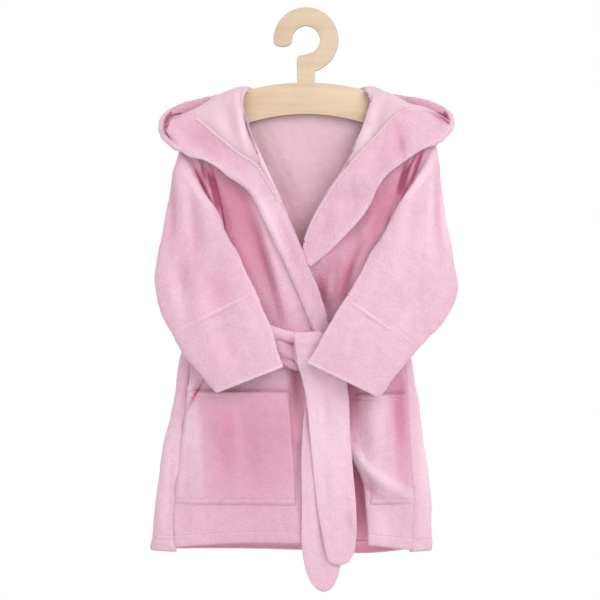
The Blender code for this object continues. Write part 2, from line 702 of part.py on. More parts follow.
def left_lapel_lift(x, z):
    """The lapel leaves the front panel and lies on the hood from here up."""
    return HOOD_LIFT * ease((z - LAPEL_STEP_Z) / LAPEL_STEP)


def right_lapel_lift(x, z):
    return np.maximum(overlap_lift(x, z), left_lapel_lift(x, z))


def pocket_grid(table, lift):
    """A patch pocket that stands open at its mouth."""
    grid = []
    lowest = table[-1].z
    for z in np.linspace(table[0].z, lowest, POCKET_STEPS):
        share = np.linspace(0, 1, POCKET_STEPS)
        side, inner = at(table, "side", z), at(table, "inner", z)
        x = side + (inner - side) * share
        closing = np.sin(np.pi / 2 * min(1, (z - lowest) / POCKET_CLOSING))
        bulge = POCKET_BULGE * np.sin(np.pi * share) ** POCKET_BELLY_POWER * closing
        y = front_y(x, z) - lift(x, z) - POCKET_LIFT - bulge
        grid.append(np.stack([x, y, np.full_like(x, z)], -1))
    return np.array(grid)


def build_belt():
    """The waist run, the knot and the two ends that hang from it."""
    rings = []
    power = 2 / BODY_ROUNDNESS
    for angle in np.linspace(BELT_WAIST[0].angle, BELT_WAIST[-1].angle, BELT_STEPS):
        z = at(BELT_WAIST, "z", angle)
        half = at(BELT_WAIST, "width", angle) / 2
        s, c = math.sin(math.radians(angle)), math.cos(math.radians(angle))
        ring = []
        for up, out in ((1, 0), (0.8, 1), (-0.8, 1), (-1, 0), (-0.8, -1), (0.8, -1)):
            level = z + half * up
            left, right = at(BODY, "left", level), at(BODY, "right", level)
            depth = at(BODY, "front", level) if c > 0 else at(BODY, "back", level)
            off = CLOTH / 2 + BELT_GAP + BELT_THICKNESS / 2 * (1 + out)
            off += OVERLAP_LIFT * ease((c - BELT_LIFT_START) / BELT_LIFT_SPAN)
            x = (left + right) / 2 + ((right - left) / 2 + off) * np.sign(s) * abs(s) ** power
            y = -(depth + off) * np.sign(c) * abs(c) ** power
            ring.append((float(x), float(y), float(level)))
        rings.append(ring)
    loft("belt_waist", rings, terry)
    for name, table in (("belt_front_end", BELT_FRONT_END), ("belt_rear_end", BELT_REAR_END)):
        rings = []
        for row in table:
            middle, half = (row.left + row.right) / 2, (row.right - row.left) / 2
            ring = []
            for across, out in ((1, 0), (0.85, 1), (0, 1.1), (-0.85, 1), (-1, 0), (-0.85, -0.9),
                                (0.85, -0.9)):
                x = middle + half * across
                ring.append((x, row.y - out * (BELT_THICKNESS / 2 - 0.2), row.z))
            rings.append(ring)
        loft(name, rings, terry)
    lumps = []
    for lump in KNOT:
        made = bmesh.new()
        bmesh.ops.create_cube(made, size=1)
        for vert in made.verts:
            vert.co.x = (lump.x + vert.co.x * lump.width) * MM
            vert.co.y = (lump.y + vert.co.y * lump.depth) * MM
            vert.co.z = (lump.z + vert.co.z * lump.height) * MM
        rounding = min(KNOT_ROUNDING, lump.depth * THIN_ROUNDING)
        bmesh.ops.bevel(made, geom=made.edges[:], offset=rounding * MM, segments=3,
                        profile=0.5, affect="EDGES")
        mesh = bpy.data.meshes.new("belt_knot")
        made.to_mesh(mesh)
        made.free()
        lumps.append(mesh)
    knot = new_object("belt_knot", lumps[0], terry)
    tuck = bpy.data.objects.new("knot_tuck", lumps[1])
    helpers.objects.link(tuck)
    tuck.hide_render = True
    tuck.display_type = "WIRE"
    join = knot.modifiers.new("tuck", "BOOLEAN")
    join.operation = "UNION"
    join.object = tuck


def plain_material(name, colour, roughness):
    made = bpy.data.materials.new(name)
    made.use_nodes = True
    shader = made.node_tree.nodes["Principled BSDF"]
    shader.inputs["Base Color"].default_value = colour
    shader.inputs["Roughness"].default_value = roughness
    shader.inputs["Metallic"].default_value = 0.0
    return made


for old in list(bpy.data.objects):
    bpy.data.objects.remove(old, do_unlink=True)
robe = bpy.data.collections.new("child_bathrobe")
helpers = bpy.data.collections.new("helpers")
bpy.context.scene.collection.children.link(robe)
bpy.context.scene.collection.children.link(helpers)
terry = plain_material("terry", PINK, 0.95)
hood_terry = plain_material("hood_terry", PALE_PINK, 0.95)
birch = plain_material("birch_plywood", BIRCH, 0.6)

build_hanger()
build_fronts()
cloth("back", back_grid(), terry)
cloth("sleeve_right", sleeve_grid(SLEEVE_RIGHT, -1), terry, closed=True)
cloth("sleeve_left", sleeve_grid(SLEEVE_LEFT, 1), terry, closed=True)
cloth("hood_right", hood_grid(HOOD_RIGHT, -1), hood_terry)
cloth("hood_left", hood_grid(HOOD_LEFT, 1), hood_terry)
cloth("hood_facing_right", hood_facing_grid(HOOD_RIGHT, -1), terry)
cloth("hood_facing_left", hood_facing_grid(HOOD_LEFT, 1), terry)
cloth("lapel_right", lapel_grid(LAPEL_RIGHT, right_lapel_lift), terry)
cloth("lapel_left", lapel_grid(LAPEL_LEFT, left_lapel_lift), terry)
cloth("pocket_right", pocket_grid(POCKET_RIGHT, overlap_lift), terry)
cloth("pocket_left", pocket_grid(POCKET_LEFT, no_lift), terry)
build_belt()
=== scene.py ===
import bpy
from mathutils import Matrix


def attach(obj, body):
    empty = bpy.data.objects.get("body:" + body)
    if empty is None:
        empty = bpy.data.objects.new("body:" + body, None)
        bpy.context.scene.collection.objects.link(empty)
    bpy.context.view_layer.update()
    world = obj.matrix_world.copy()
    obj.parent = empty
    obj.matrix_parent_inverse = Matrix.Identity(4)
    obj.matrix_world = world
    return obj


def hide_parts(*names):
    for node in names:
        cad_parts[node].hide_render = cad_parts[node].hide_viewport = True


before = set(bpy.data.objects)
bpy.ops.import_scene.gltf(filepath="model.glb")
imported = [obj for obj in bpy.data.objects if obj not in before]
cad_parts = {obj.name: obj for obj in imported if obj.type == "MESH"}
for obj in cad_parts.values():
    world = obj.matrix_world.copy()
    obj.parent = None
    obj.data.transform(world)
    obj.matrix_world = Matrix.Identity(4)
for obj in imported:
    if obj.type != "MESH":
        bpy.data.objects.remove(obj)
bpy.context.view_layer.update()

import math
from collections import namedtuple

import bmesh
import bpy
import numpy as np

# A child's hooded towelling bathrobe, belted, on a flat plywood hanger. Metres, +Z up. The
# robe's front faces -Y, its wearer's left is at +X, and a rail carries the hook at the origin.


# The hanger: hook, stem and arms are one outline, cut by laser from 5 mm birch plywood. Its
# faces are sanded and bare, and the cut leaves the edges scorched brown over the glued plies.
EDGE_ROUNDING = 0.00045
BIRCH_LIGHT = (0.76, 0.59, 0.425, 1.0)
BIRCH_GRAIN = (0.67, 0.495, 0.34, 1.0)
BIRCH_DARKER_AT_HOOK = (0.50, 0.42, 0.30, 1.0)
SCORCHED = (0.30, 0.155, 0.075, 1.0)
PLY_GLUE = (0.17, 0.08, 0.04, 1.0)
GRAIN_SCALE = (7.0, 7.0, 120.0)
FIBRE_SCALE = (90.0, 90.0, 1900.0)
PLIES_SCALE = 157.0


def put_values(node, values):
    """Sets sockets of a shader node, each to a plain value or to another node's socket."""
    for name, value in values.items():
        if isinstance(value, bpy.types.NodeSocket):
            node.id_data.links.new(value, node.inputs[name])
        else:
            node.inputs[name].default_value = value


def add_node(tree, kind, values=None, **settings):
    """A shader node with its settings and its sockets' values."""
    made = tree.nodes.new(kind)
    for name, value in settings.items():
        setattr(made, name, value)
    put_values(made, values or {})
    return made


def new_material(name, roughness):
    """An empty Principled material, with its node tree and its shader."""
    made = bpy.data.materials.new(name)
    made.use_nodes = True
    shader = made.node_tree.nodes["Principled BSDF"]
    put_values(shader, {"Roughness": roughness})
    return made, made.node_tree, shader


def mix_colours(tree, amount, first, second):
    """A colour between two, each a plain colour or another node's socket."""
    values = {0: amount, 6: first, 7: second}
    return add_node(tree, "ShaderNodeMix", values, data_type="RGBA").outputs[2]


def noise(tree, place, scale, detail, roughness=0.5):
    values = {"Vector": place, "Scale": scale, "Detail": detail, "Roughness": roughness}
    return add_node(tree, "ShaderNodeTexNoise", values).outputs["Fac"]


def waves(tree, place, scale, distortion, direction):
    values = {"Vector": place, "Scale": scale, "Distortion": distortion}
    return add_node(tree, "ShaderNodeTexWave", values, wave_type="BANDS",
                    bands_direction=direction).outputs["Fac"]


def ranged(tree, value, low, high, top=1.0):
    """Turns a value from low to high into one from 0 to the top."""
    values = {"Value": value, "From Min": low, "From Max": high, "To Max": top}
    return add_node(tree, "ShaderNodeMapRange", values).outputs["Result"]


def add_bump(tree, height, distance, strength, under=None):
    """A bump from a height, laid over another bump's normal."""
    values = {"Height": height, "Distance": distance, "Strength": strength}
    if under is not None:
        values["Normal"] = under
    return add_node(tree, "ShaderNodeBump", values).outputs["Normal"]


def along(tree, vector, axis):
    return add_node(tree, "ShaderNodeSeparateXYZ", {"Vector": vector}).outputs[axis]


def birch_plywood():
    """Wood with its grain on the faces, and scorched plies where the surface faces sideways."""
    made, tree, shader = new_material("birch_plywood", 0.62)
    place = add_node(tree, "ShaderNodeTexCoord").outputs["Object"]
    stretched, fibres = (
        add_node(tree, "ShaderNodeMapping", {"Vector": place, "Scale": scale}).outputs["Vector"]
        for scale in (GRAIN_SCALE, FIBRE_SCALE))
    grain = ranged(tree, noise(tree, stretched, 1.0, 7.0, 0.6), 0.38, 0.66)
    fine = noise(tree, fibres, 1.0, 3.0)
    face = mix_colours(tree, grain, BIRCH_LIGHT, BIRCH_GRAIN)
    face = mix_colours(tree, ranged(tree, fine, 0.60, 0.75, 0.35), face, BIRCH_GRAIN)
    cut = mix_colours(tree, waves(tree, place, PLIES_SCALE, 0.6, "Y"), PLY_GLUE, SCORCHED)
    facing = along(tree, add_node(tree, "ShaderNodeNewGeometry").outputs["Normal"], "Y")
    flat = add_node(tree, "ShaderNodeMath", {0: facing}, operation="ABSOLUTE").outputs["Value"]
    # The wood is darker towards the hook at the top.
    toward_hook = ranged(tree, along(tree, place, "Z"), -0.072, -0.02, 0.3)
    face = mix_colours(tree, toward_hook, face, BIRCH_DARKER_AT_HOOK)
    wood = mix_colours(tree, ranged(tree, flat, 0.45, 0.97), cut, face)
    put_values(shader, {"Base Color": wood, "Normal": add_bump(tree, fine, 0.0002, 0.25)})
    return made


def add_object(name, data):
    made = bpy.data.objects.new(name, data)
    bpy.context.scene.collection.objects.link(made)
    return made


def pick(*pieces):
    """Selects these pieces only, the first as the active one."""
    bpy.ops.object.select_all(action="DESELECT")
    for piece in pieces:
        piece.select_set(True)
    bpy.context.view_layer.objects.active = pieces[0]


def finish_modifier(piece, name):
    pick(piece)
    bpy.ops.object.modifier_apply(modifier=name)


board_mesh = bpy.data.meshes.new("hanger_board")
outline = bmesh.new()
outline.from_mesh(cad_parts["hanger"].data)
bmesh.ops.remove_doubles(outline, verts=outline.verts, dist=1e-5)
bmesh.ops.dissolve_limit(outline, angle_limit=math.radians(1), verts=outline.verts,
                         edges=outline.edges)
outline.to_mesh(board_mesh)
outline.free()
board_mesh.materials.append(birch_plywood())
hanger_board = add_object("hanger_board", board_mesh)
rounding = hanger_board.modifiers.new("rounding", "BEVEL")
rounding.width = EDGE_ROUNDING
rounding.segments = 2
rounding.limit_method = "ANGLE"
rounding.angle_limit = math.radians(60)
finish_modifier(hanger_board, "rounding")
bpy.ops.object.shade_smooth_by_angle(angle=math.radians(40))
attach(hanger_board, "root")
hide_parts("hanger")


# The back is one panel of 310 g/m2 cotton terry, loops outside and a flatter, paler wrong side
# inside. It is cut wide enough to wrap round both sides to seams that show on the front, hangs
# from the shoulders in soft upright folds that the belt gathers, and ends in a stitched hem.
MM = 0.001
CLOTH = 2.0  # from here on, sizes are in millimetres
FIRST_LEVEL = -90.5
LEVEL_STEP = 2.4
LEVEL_SAMPLES = 400
SEAM_AIR = 0.3
BACK_COLUMNS = 166
BACK_SEED = 10
WAVES = 11
FULL_TURN = 6.28
UNEVENNESS = ((46, 0.5), (15, 0.16), (6, 0.07))  # size and height of each kind of ripple
BODY_ROUNDNESS = 2.6
TOP_LEVEL = -75.0
UNDERARM_LEVEL = -250.0
SIDE_WRAP_LEVEL = -243.0
WRAP_EASE = 6.0
HEM_START = -540.0
HEM_LEVEL = -622.0
HEM_WIDTH = 16.0
STITCH_IN = 2.5  # from a hem's inner edge to its stitches
# Along a stitch: where each section is, how wide and how high, with its ends in the cloth.
STITCH_SECTIONS = ((-1, 0.3, -0.5), (-0.6, 1, 0.35), (0.6, 1, 0.35), (1, 0.3, -0.5))
HEM_STITCH_LEVEL = HEM_LEVEL + HEM_WIDTH - STITCH_IN
SHOULDER_FADE = 135.0
SHOULDER_ROLL = 7.0
SHOULDER_GAP = 1.2
SIDE_SEAM_TURN = -0.022
NECK_HALF_WIDTH = 76.0
NECK_DROP = 21.0
NECK_FADE = 90.0
ROLL_START_X = 81.0
NECK_FLAT = 8.0
ROUND_LEVELS = [-75, -75.4, -76, -76.8, -77.8, -79.2, -81, -83, -85.4, -88]
PINK = (0.83, 0.56, 0.68, 1.0)
# Random mottle of the terry, and painted shade between its loops.
PINK_MOTTLE_AND_LOOP_SHADE = (0.74, 0.40, 0.53, 1.0)
# The next three are painted light in the terry's colour: painted shade in folds, painted
# highlight, and the darkest painted shade.
PAINTED_SHADE_PINK = (0.60, 0.165, 0.28, 1.0)
PAINTED_HIGHLIGHT_PINK = (0.96, 0.715, 0.81, 1.0)
PAINTED_DEEP_SHADE_PINK = (0.26, 0.05, 0.11, 1.0)
PALE_PINK = (0.77, 0.56, 0.62, 1.0)
# Random mottle and painted shade between the loops, on the wrong side.
PALE_MOTTLE_AND_LOOP_SHADE = (0.71, 0.475, 0.55, 1.0)
# Painted shade of the robe's inside: a deeper, stronger pink where little light reaches.
PAINTED_INSIDE_SHADE_PINK = (1.0, 0.46, 0.63, 1.0)
SHEEN_TINT = (1.0, 0.86, 0.92, 1.0)
THREAD_PINK = (0.95, 0.76, 0.84, 1.0)
THREAD_SHADE = (0.88, 0.62, 0.72, 1.0)
OVERLOCK_PINK = (0.99, 0.80, 0.87, 1.0)
OVERLOCK_SHADE = (0.93, 0.66, 0.76, 1.0)
MOTTLE_SCALE = 95.0
NAP_SCALE = 340.0
WALE_SCALE = 260.0
TWIST_SCALE = 1500.0

BodyLevel = namedtuple("BodyLevel", "z left right front back")
BODY = [BodyLevel(*row) for row in (
    (-70, -192, 192, 5, 5), (-116, -188, 188, 9, 8), (-167, -166, 166, 15, 13),
    (-209, -141, 141, 18.5, 17), (-240, -112, 112, 19, 18.5), (-262, -104, 104, 18.5, 19),
    (-300, -116, 111, 16, 20), (-335, -129, 117, 13, 20), (-396, -150, 125, 13, 20.5),
    (-449, -157, 132, 15.5, 21.5), (-485, -166, 138, 17, 22.5), (-557, -178, 148, 18.5, 25),
    (-640, -188, 151, 20, 27),
)]
ShoulderPoint = namedtuple("ShoulderPoint", "x z")
SHOULDER = [ShoulderPoint(*row) for row in (
    (0, -75), (64, -76.5), (76, -77), (88, -81), (100, -85.5), (112, -91.5), (124, -99.5),
    (134, -106.5), (146, -115),
)]
# Edges of the panels at each level: armhole, then side seam, and the free edges of the fronts.
PanelEdge = namedtuple("PanelEdge", "z right_side right_free left_side left_free")
EDGES = [PanelEdge(*row) for row in (
    (-75, -142, -77, 146, 79), (-116, -135, -71, 139, 71), (-140, -127, -61, 131, 59),
    (-167, -118.5, -49, 122, 47), (-209, -106, -30, 107.5, 20), (-250, -96.5, -13, 96.5, 1),
    (-262, -99, -8, 99, -3), (-300, -110, 7, 106, -9), (-335, -120, 19, 111, -12),
    (-396, -137, 30, 117, -6), (-450, -143, 36, 121, 16), (-500, -149, 38, 124, 44),
    (-540, -153, 37, 127, 66), (-582, -158, 35, 128, 72), (-622, -157, 33, 126, 74),
)]
HemPoint = namedtuple("HemPoint", "x front back")
HEM = [HemPoint(*row) for row in (
    (-190, -627, -628), (-150, -623, -629), (-77, -618, -630), (30, -619, -633),
    (77, -621, -635), (108, -625, -632), (128, -627, -629), (151, -629, -628.5),
)]
# A crease runs from one point to another in the front view. Its bend is how far its middle
# lies to its left, its lean makes that side wider, and its peak is where it stands highest.
Crease = namedtuple("Crease", "x1 z1 x2 z2 bend width height peak lean", defaults=(0.5, 0.0))
BACK_CREASES = [Crease(*row) for row in (
    (-118, -352, -142, -612, 4, 13, 5, 0.55, 0.2), (-88, -346, -100, -560, -3, 11, -4.5, 0.35),
    (-52, -350, -66, -618, 5, 15, 4.2, 0.7, -0.2), (-18, -352, -22, -520, -4, 12, -4.8, 0.4, 0.1),
    (12, -350, 20, -616, 6, 14, 4.4, 0.75, 0.2), (46, -348, 56, -540, -2, 10, -4.2, 0.3),
    (76, -352, 92, -614, 5, 13, 4.6, 0.6, -0.1), (104, -350, 118, -500, -3, 9, -3.6, 0.4),
    (58, -500, 62, -650, 0, 13, -8, 0.55), (-92, -322, -70, -262, 3, 9, 3.2, 0.2),
    (-46, -318, -40, -268, 2, 8, -2.6, 0.3), (-4, -320, 6, -256, -2, 9, 2.8, 0.2),
    (38, -316, 30, -270, 2, 8, -2.4, 0.3), (84, -322, 66, -258, -3, 10, 3, 0.2),
    (-104, -150, -60, -235, -6, 12, 2.6, 0.4, 0.2), (102, -155, 62, -228, 6, 11, 2.4, 0.4, 0.2),
    (-30, -120, -12, -230, 6, 16, -2), (28, -130, 40, -240, -5, 14, 1.8, 0.6),
)]
# The same folds as the fronts show at the sides, where the back wraps round to the front.
SIDE_CREASES = [Crease(*row) for row in (
    (-139, -408, -156, -462, 0, 6, 2.6, 0.4), (-147, -458, -152, -500, 1, 3, -4, 0.4),
    (-166, -470, -172, -600, 2, 6, 1.8), (-160, -505, -165, -622, 0, 5, -1.8, 0.6),
    (128, -420, 136, -520, 1, 5, 2.2, 0.4), (134, -500, 140, -612, -1, 5, -1.8),
    (-122, -345, -131, -400, 0, 5, -2),
)]
# Painted shade at each place: a stroke's height is how much shade is painted there, and below
# zero it is a painted highlight.
BACK_PAINTED_SHADE = [Crease(*row) for row in (
    (-88, -350, -96, -560, -3, 9, 0.3, 0.3), (-18, -352, -22, -520, -4, 9, 0.32, 0.3),
    (46, -348, 56, -540, -2, 8, 0.3, 0.3), (104, -350, 118, -500, -3, 8, 0.28, 0.4),
    (-52, -350, -66, -618, 5, 8, -0.25, 0.7), (12, -350, 20, -616, 6, 8, -0.25, 0.75),
    (76, -352, 92, -614, 5, 8, -0.25, 0.6), (-100, -322, 100, -322, 0, 9, 0.3),
    (0, -165, 0, -275, 0, 56, -0.55, 0.7),
)]
SIDE_PAINTED_SHADE = [Crease(*row) for row in (
    (-133, -406, -153, -470, 1, 4, 0.55, 0.3), (-152, -420, -172, -640, 0, 17, -0.38),
    (-158, -500, -162, -610, 0, 4, 0.25), (130, -400, 140, -640, 0, 16, -0.3),
    (130, -520, 130, -615, 0, 4, 0.25), (140, -430, 148, -610, 0, 9, -0.4),
)]
# Painted shade on the back's inside.
BACK_INSIDE_PAINTED_SHADE = [Crease(*row) for row in (
    (60, -500, 60, -640, 0, 26, 0.6, 0.6), (0, -180, 0, -330, 0, 60, 0.92, 0.55),
    (0, -430, 0, -628, 0, 220, 1),
)]


def column(table, name):
    """One column of a table, as an array."""
    return np.array([float(getattr(row, name)) for row in table])


def smooth(keys, values, key):
    """A smooth curve through the values, read at each key; a value may be a grid of points."""
    if keys[0] > keys[-1]:
        keys, values = keys[::-1], values[::-1]
    slopes = np.gradient(values, keys, axis=0)
    key = np.clip(key, keys[0], keys[-1])
    low = np.clip(np.searchsorted(keys, key, side="right") - 1, 0, len(keys) - 2)
    step = keys[low + 1] - keys[low]
    t = (key - keys[low]) / step
    if values.ndim > 1:
        shape = np.shape(key) + (1,) * (values.ndim - 1)
        t, step = np.reshape(t, shape), np.reshape(step, shape)
    return (
        values[low] * (1 + 2 * t) * (1 - t) ** 2
        + slopes[low] * step * t * (1 - t) ** 2
        + values[low + 1] * t**2 * (3 - 2 * t)
        + slopes[low + 1] * step * t**2 * (t - 1)
    )


def at(table, name, key):
    """A column's smooth value at each key, the table's first column."""
    return smooth(column(table, table[0]._fields[0]), column(table, name), key)


def ease(value):
    """0 to 1 with soft ends."""
    value = np.clip(value, 0, 1)
    return value * value * (3 - 2 * value)


def filled(value, power):
    """A sine or cosine with its corners filled out, and with its sign kept."""
    return np.sign(value) * np.abs(value) ** power


def oval(x, z):
    """How deep the body's oval is at x, from 1 at its middle to 0 at its sides."""
    left = at(BODY, "left", z)
    right = at(BODY, "right", z)
    reach = np.clip(np.abs((2 * x - left - right) / (right - left)), 0, 1)
    return (1 - reach**BODY_ROUNDNESS) ** (1 / BODY_ROUNDNESS)


def front_y(x, z):
    return -at(BODY, "front", z) * oval(x, z)


def back_y(x, z):
    return at(BODY, "back", z) * oval(x, z)


def shoulder_drop(x, level):
    """Slope that the shoulder seam gives to the levels just under it."""
    fade = np.clip(1 - (TOP_LEVEL - level) / SHOULDER_FADE, 0, 1) ** 1.5
    return (at(SHOULDER, "z", np.abs(x)) - TOP_LEVEL) * fade


def neck_drop(x):
    """How far the back's neckline dips below the shoulder seam's end."""
    return NECK_DROP * np.clip(1 - (x / NECK_HALF_WIDTH) ** 2, 0, 1)


def shoulder_roll(level):
    """Rounds the panels over the hanger's arm, to meet at the seam."""
    part = np.clip((TOP_LEVEL - level) / SHOULDER_ROLL, 0, 1)
    return np.sqrt(1 - (1 - part) ** 2)


def hem_drop(x, level, side):
    """Moves the lowest levels to the hem's own line."""
    share = ease((level - HEM_START) / (HEM_LEVEL - HEM_START))
    return (at(HEM, side, x) - HEM_LEVEL) * share


def run_of(steps):
    """How far each point lies along a line, from the steps between them."""
    return np.concatenate([[0], np.cumsum(steps)])


def evenly(x, y, count, other=None):
    """Values of x, and of another quantity, at points evenly spaced along a line."""
    length = run_of(np.hypot(np.diff(x), np.diff(y)))
    stops = np.linspace(0, length[-1], count)
    return np.interp(stops, length, x), np.interp(stops, length, x if other is None else other)


def spaced(start, end, step, seams=()):
    """Values from start to end, closer together beside each seam so that its dent shows."""
    values = np.linspace(start, end, int(abs(end - start) / step) + 2)
    for seam in seams:
        values = values[np.abs(values - seam) > 4.4]
        values = np.append(values, np.linspace(seam - 4, seam + 4, 12))
    values = np.sort(values[(values - start) * (values - end) <= 0])
    return values if end > start else values[::-1]


def bell(value, width):
    return np.exp(-((value / width) ** 2))


def nearest(values, wanted):
    """Where in a row of values the one nearest to that wanted is."""
    return int(np.argmin(np.abs(values - wanted)))


def lengths(points, axis, from_end=False):
    """How far each point of a grid is from the grid's first edge, or its last one, along its
    columns (axis 0) or its rows (axis 1)."""
    if from_end:
        return np.flip(lengths(np.flip(points, axis), axis), axis)
    steps = np.linalg.norm(np.diff(points, axis=axis), axis=-1)
    first = np.zeros_like(np.take(steps, [0], axis=axis))
    return np.concatenate([first, np.cumsum(steps, axis=axis)], axis=axis)


def normals_of(points, y_sign, closed=False, row=None, col=None):
    """Unit normals of a grid of points, on the side whose Y has this sign at one point, which
    is the grid's middle unless it is named."""
    row = len(points) // 2 if row is None else row
    col = points.shape[1] // 2 if col is None else col
    if closed:
        along = np.roll(points, -1, 1) - np.roll(points, 1, 1)
    else:
        along = np.gradient(points, axis=1)
    normals = np.cross(along, np.gradient(points, axis=0))
    normals /= np.linalg.norm(normals, axis=-1, keepdims=True) + 1e-9
    return normals * np.sign(normals[row, col, 1] * y_sign)


def raised(points, normals, heights, *where):
    """A grid moved along its normals by these heights, and its new normals."""
    points = points + normals * heights[..., None]
    return points, normals_of(points, *where)


def folds(table, x, z, power=2):
    """Height of a table's creases at each point; a higher power flattens their tops."""
    total = np.zeros(np.shape(x))
    for crease in table:
        run_x, run_z = crease.x2 - crease.x1, crease.z2 - crease.z1
        length = math.hypot(run_x, run_z)
        along = ((x - crease.x1) * run_x + (z - crease.z1) * run_z) / length**2
        part = np.clip(along, 0, 1)
        aside = ((z - crease.z1) * run_x - (x - crease.x1) * run_z) / length
        aside = aside - crease.bend * 4 * part * (1 - part)
        aside = aside / np.where(aside > 0, 1 + crease.lean, 1 - crease.lean)
        distance = np.hypot(aside, (along - part) * length)
        rise = np.where(part < crease.peak, part / crease.peak, (1 - part) / (1 - crease.peak))
        strength = 0.3 + 0.7 * ease(rise)
        total += crease.height * strength * np.exp(-((distance / crease.width) ** power))
    return total


def ripple(x, z, size, height, seed):
    """Slight unevenness of hanging cloth, as a sum of slanting waves."""
    draw = np.random.default_rng(seed)
    total = np.zeros(np.shape(x))
    angles, starts, shares = (draw.uniform(low, high, WAVES)
                              for low, high in ((0, math.pi), (0, FULL_TURN), (0.7, 1.5)))
    for angle, start, share in zip(angles, starts, shares):
        way = x * np.cos(angle) + z * np.sin(angle)
        total += np.sin(way * FULL_TURN / (size * share) + start)
    return total * height / 3


def unevenness(x, z, seed):
    """The ripples that every panel has: slow ones, and the nap's small ones."""
    return sum(ripple(x, z, *wave, seed + number) for number, wave in enumerate(UNEVENNESS))


def turned_hem(distance, width):
    """A doubled hem with the dent of its stitches, by the distance from the cloth's edge."""
    doubled = 0.7 * ease((width + 1 - distance) / 2.5)
    dent = 1.2 * bell(distance - width + STITCH_IN, 1.2)
    rounded = 1.1 * (1 - ease(distance / 3))
    return doubled - dent - rounded


def curled_edge(distance, radius):
    """How far a seamed or folded edge turns in, by the distance from that edge."""
    part = 1 - np.clip(distance / radius, 0, 1)
    return -radius * (1 - np.sqrt(1 - part**2))


def cloth_piece(name, points, normals, hollow, closed=False, thickness=CLOTH, inside_painted_shade=0.0):
    """A panel of terry through a grid of points, with its wall and a map that follows it. It
    may be closed round into a tube. A flat tube has no wall, and only its outside shows."""
    rows, columns = points.shape[:2]
    count = columns if closed else columns - 1
    i, j = np.meshgrid(np.arange(rows - 1), np.arange(count), indexing="ij")
    k = (j + 1) % columns
    corners = [(i, j, j), (i, k, j + 1), (i + 1, k, j + 1), (i + 1, j, j)]
    along = np.cross(points[:, 1:] - points[:, :-1], np.gradient(points, axis=0)[:, :-1])
    if (along * normals[:, :-1]).sum() < 0:
        corners.reverse()
    faces = np.stack([a * columns + b for a, b, c in corners], -1).reshape(-1, 4)
    mesh = bpy.data.meshes.new(name)
    mesh.from_pydata((points.reshape(-1, 3) * MM).tolist(), [], faces.tolist())
    looped = np.concatenate([points, points[:, :1]], 1) if closed else points
    across = lengths(looped, 1)
    across = across - across.mean(1, keepdims=True)
    down = lengths(looped, 0)
    down = down - down[-1:]
    flat = np.stack([np.stack([across[a, c], down[a, c]], -1) for a, b, c in corners], 2)
    mesh.uv_layers.new(name="cloth").data.foreach_set("uv", flat.reshape(-1) * MM)
    # Both attributes are painted light: the first is painted shade, or painted highlight below
    # zero, and the second is painted shade on the inside.
    for attribute, values in (("hollow", hollow), ("inside_painted_shade", inside_painted_shade)):
        values = np.clip(values, -1, 1) + np.zeros((rows, columns))
        layer = mesh.attributes.new(attribute, "FLOAT", "POINT")
        layer.data.foreach_set("value", values.ravel())
    mesh.materials.append(terry)
    mesh.materials.append(wrong_side if thickness else terry)
    mesh.shade_smooth()
    piece = add_object(name, mesh)
    if thickness:
        wall = piece.modifiers.new("wall", "SOLIDIFY")
        wall.thickness = thickness * MM
        wall.offset = 0
        wall.material_offset = 1
        wall.material_offset_rim = 0
        finish_modifier(piece, "wall")
    return piece


def stitch_row(name, line, normals, material, lift=0.15, pitch=3.4, length=2.5, thick=0.34,
               slant=0.0):
    """A row of machine stitches: short arched threads along a line on the cloth."""
    run = run_of(np.linalg.norm(np.diff(line, axis=0), axis=1))
    middles = np.arange(pitch, run[-1] - pitch / 2, pitch)
    points, faces = [], []
    for middle in middles:
        centre = np.array([np.interp(middle, run, line[:, k]) for k in range(3)])
        ahead = np.array([np.interp(middle + 0.8, run, line[:, k]) for k in range(3)]) - centre
        out = np.array([np.interp(middle, run, normals[:, k]) for k in range(3)])
        ahead /= np.linalg.norm(ahead) + 1e-9
        out /= np.linalg.norm(out) + 1e-9
        beside = np.cross(out, ahead)
        thread = ahead * math.cos(slant) + beside * math.sin(slant)
        cross = np.cross(out, thread)
        first = len(points)
        for part, width, rise in STITCH_SECTIONS:
            core = centre + thread * part * length / 2 + out * (CLOTH / 2 + lift + rise * thick)
            for side, up in ((1, 0), (0, 1), (-1, 0), (0, -1)):
                points.append(core + (cross * side + out * up) * thick * width)
        for ring in range(3):
            for side in range(4):
                low = first + ring * 4
                turn = (side + 1) % 4
                faces.append((low + side, low + 4 + side, low + 4 + turn, low + turn))
        faces.append((first, first + 1, first + 2, first + 3))
        faces.append((first + 15, first + 14, first + 13, first + 12))
    mesh = bpy.data.meshes.new(name)
    mesh.from_pydata((np.array(points) * MM).tolist(), [], faces)
    shell = bmesh.new()
    shell.from_mesh(mesh)
    bmesh.ops.recalc_face_normals(shell, faces=shell.faces)
    shell.to_mesh(mesh)
    shell.free()
    mesh.materials.append(material)
    mesh.shade_smooth()
    piece = add_object(name, mesh)
    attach(piece, "root")
    return piece


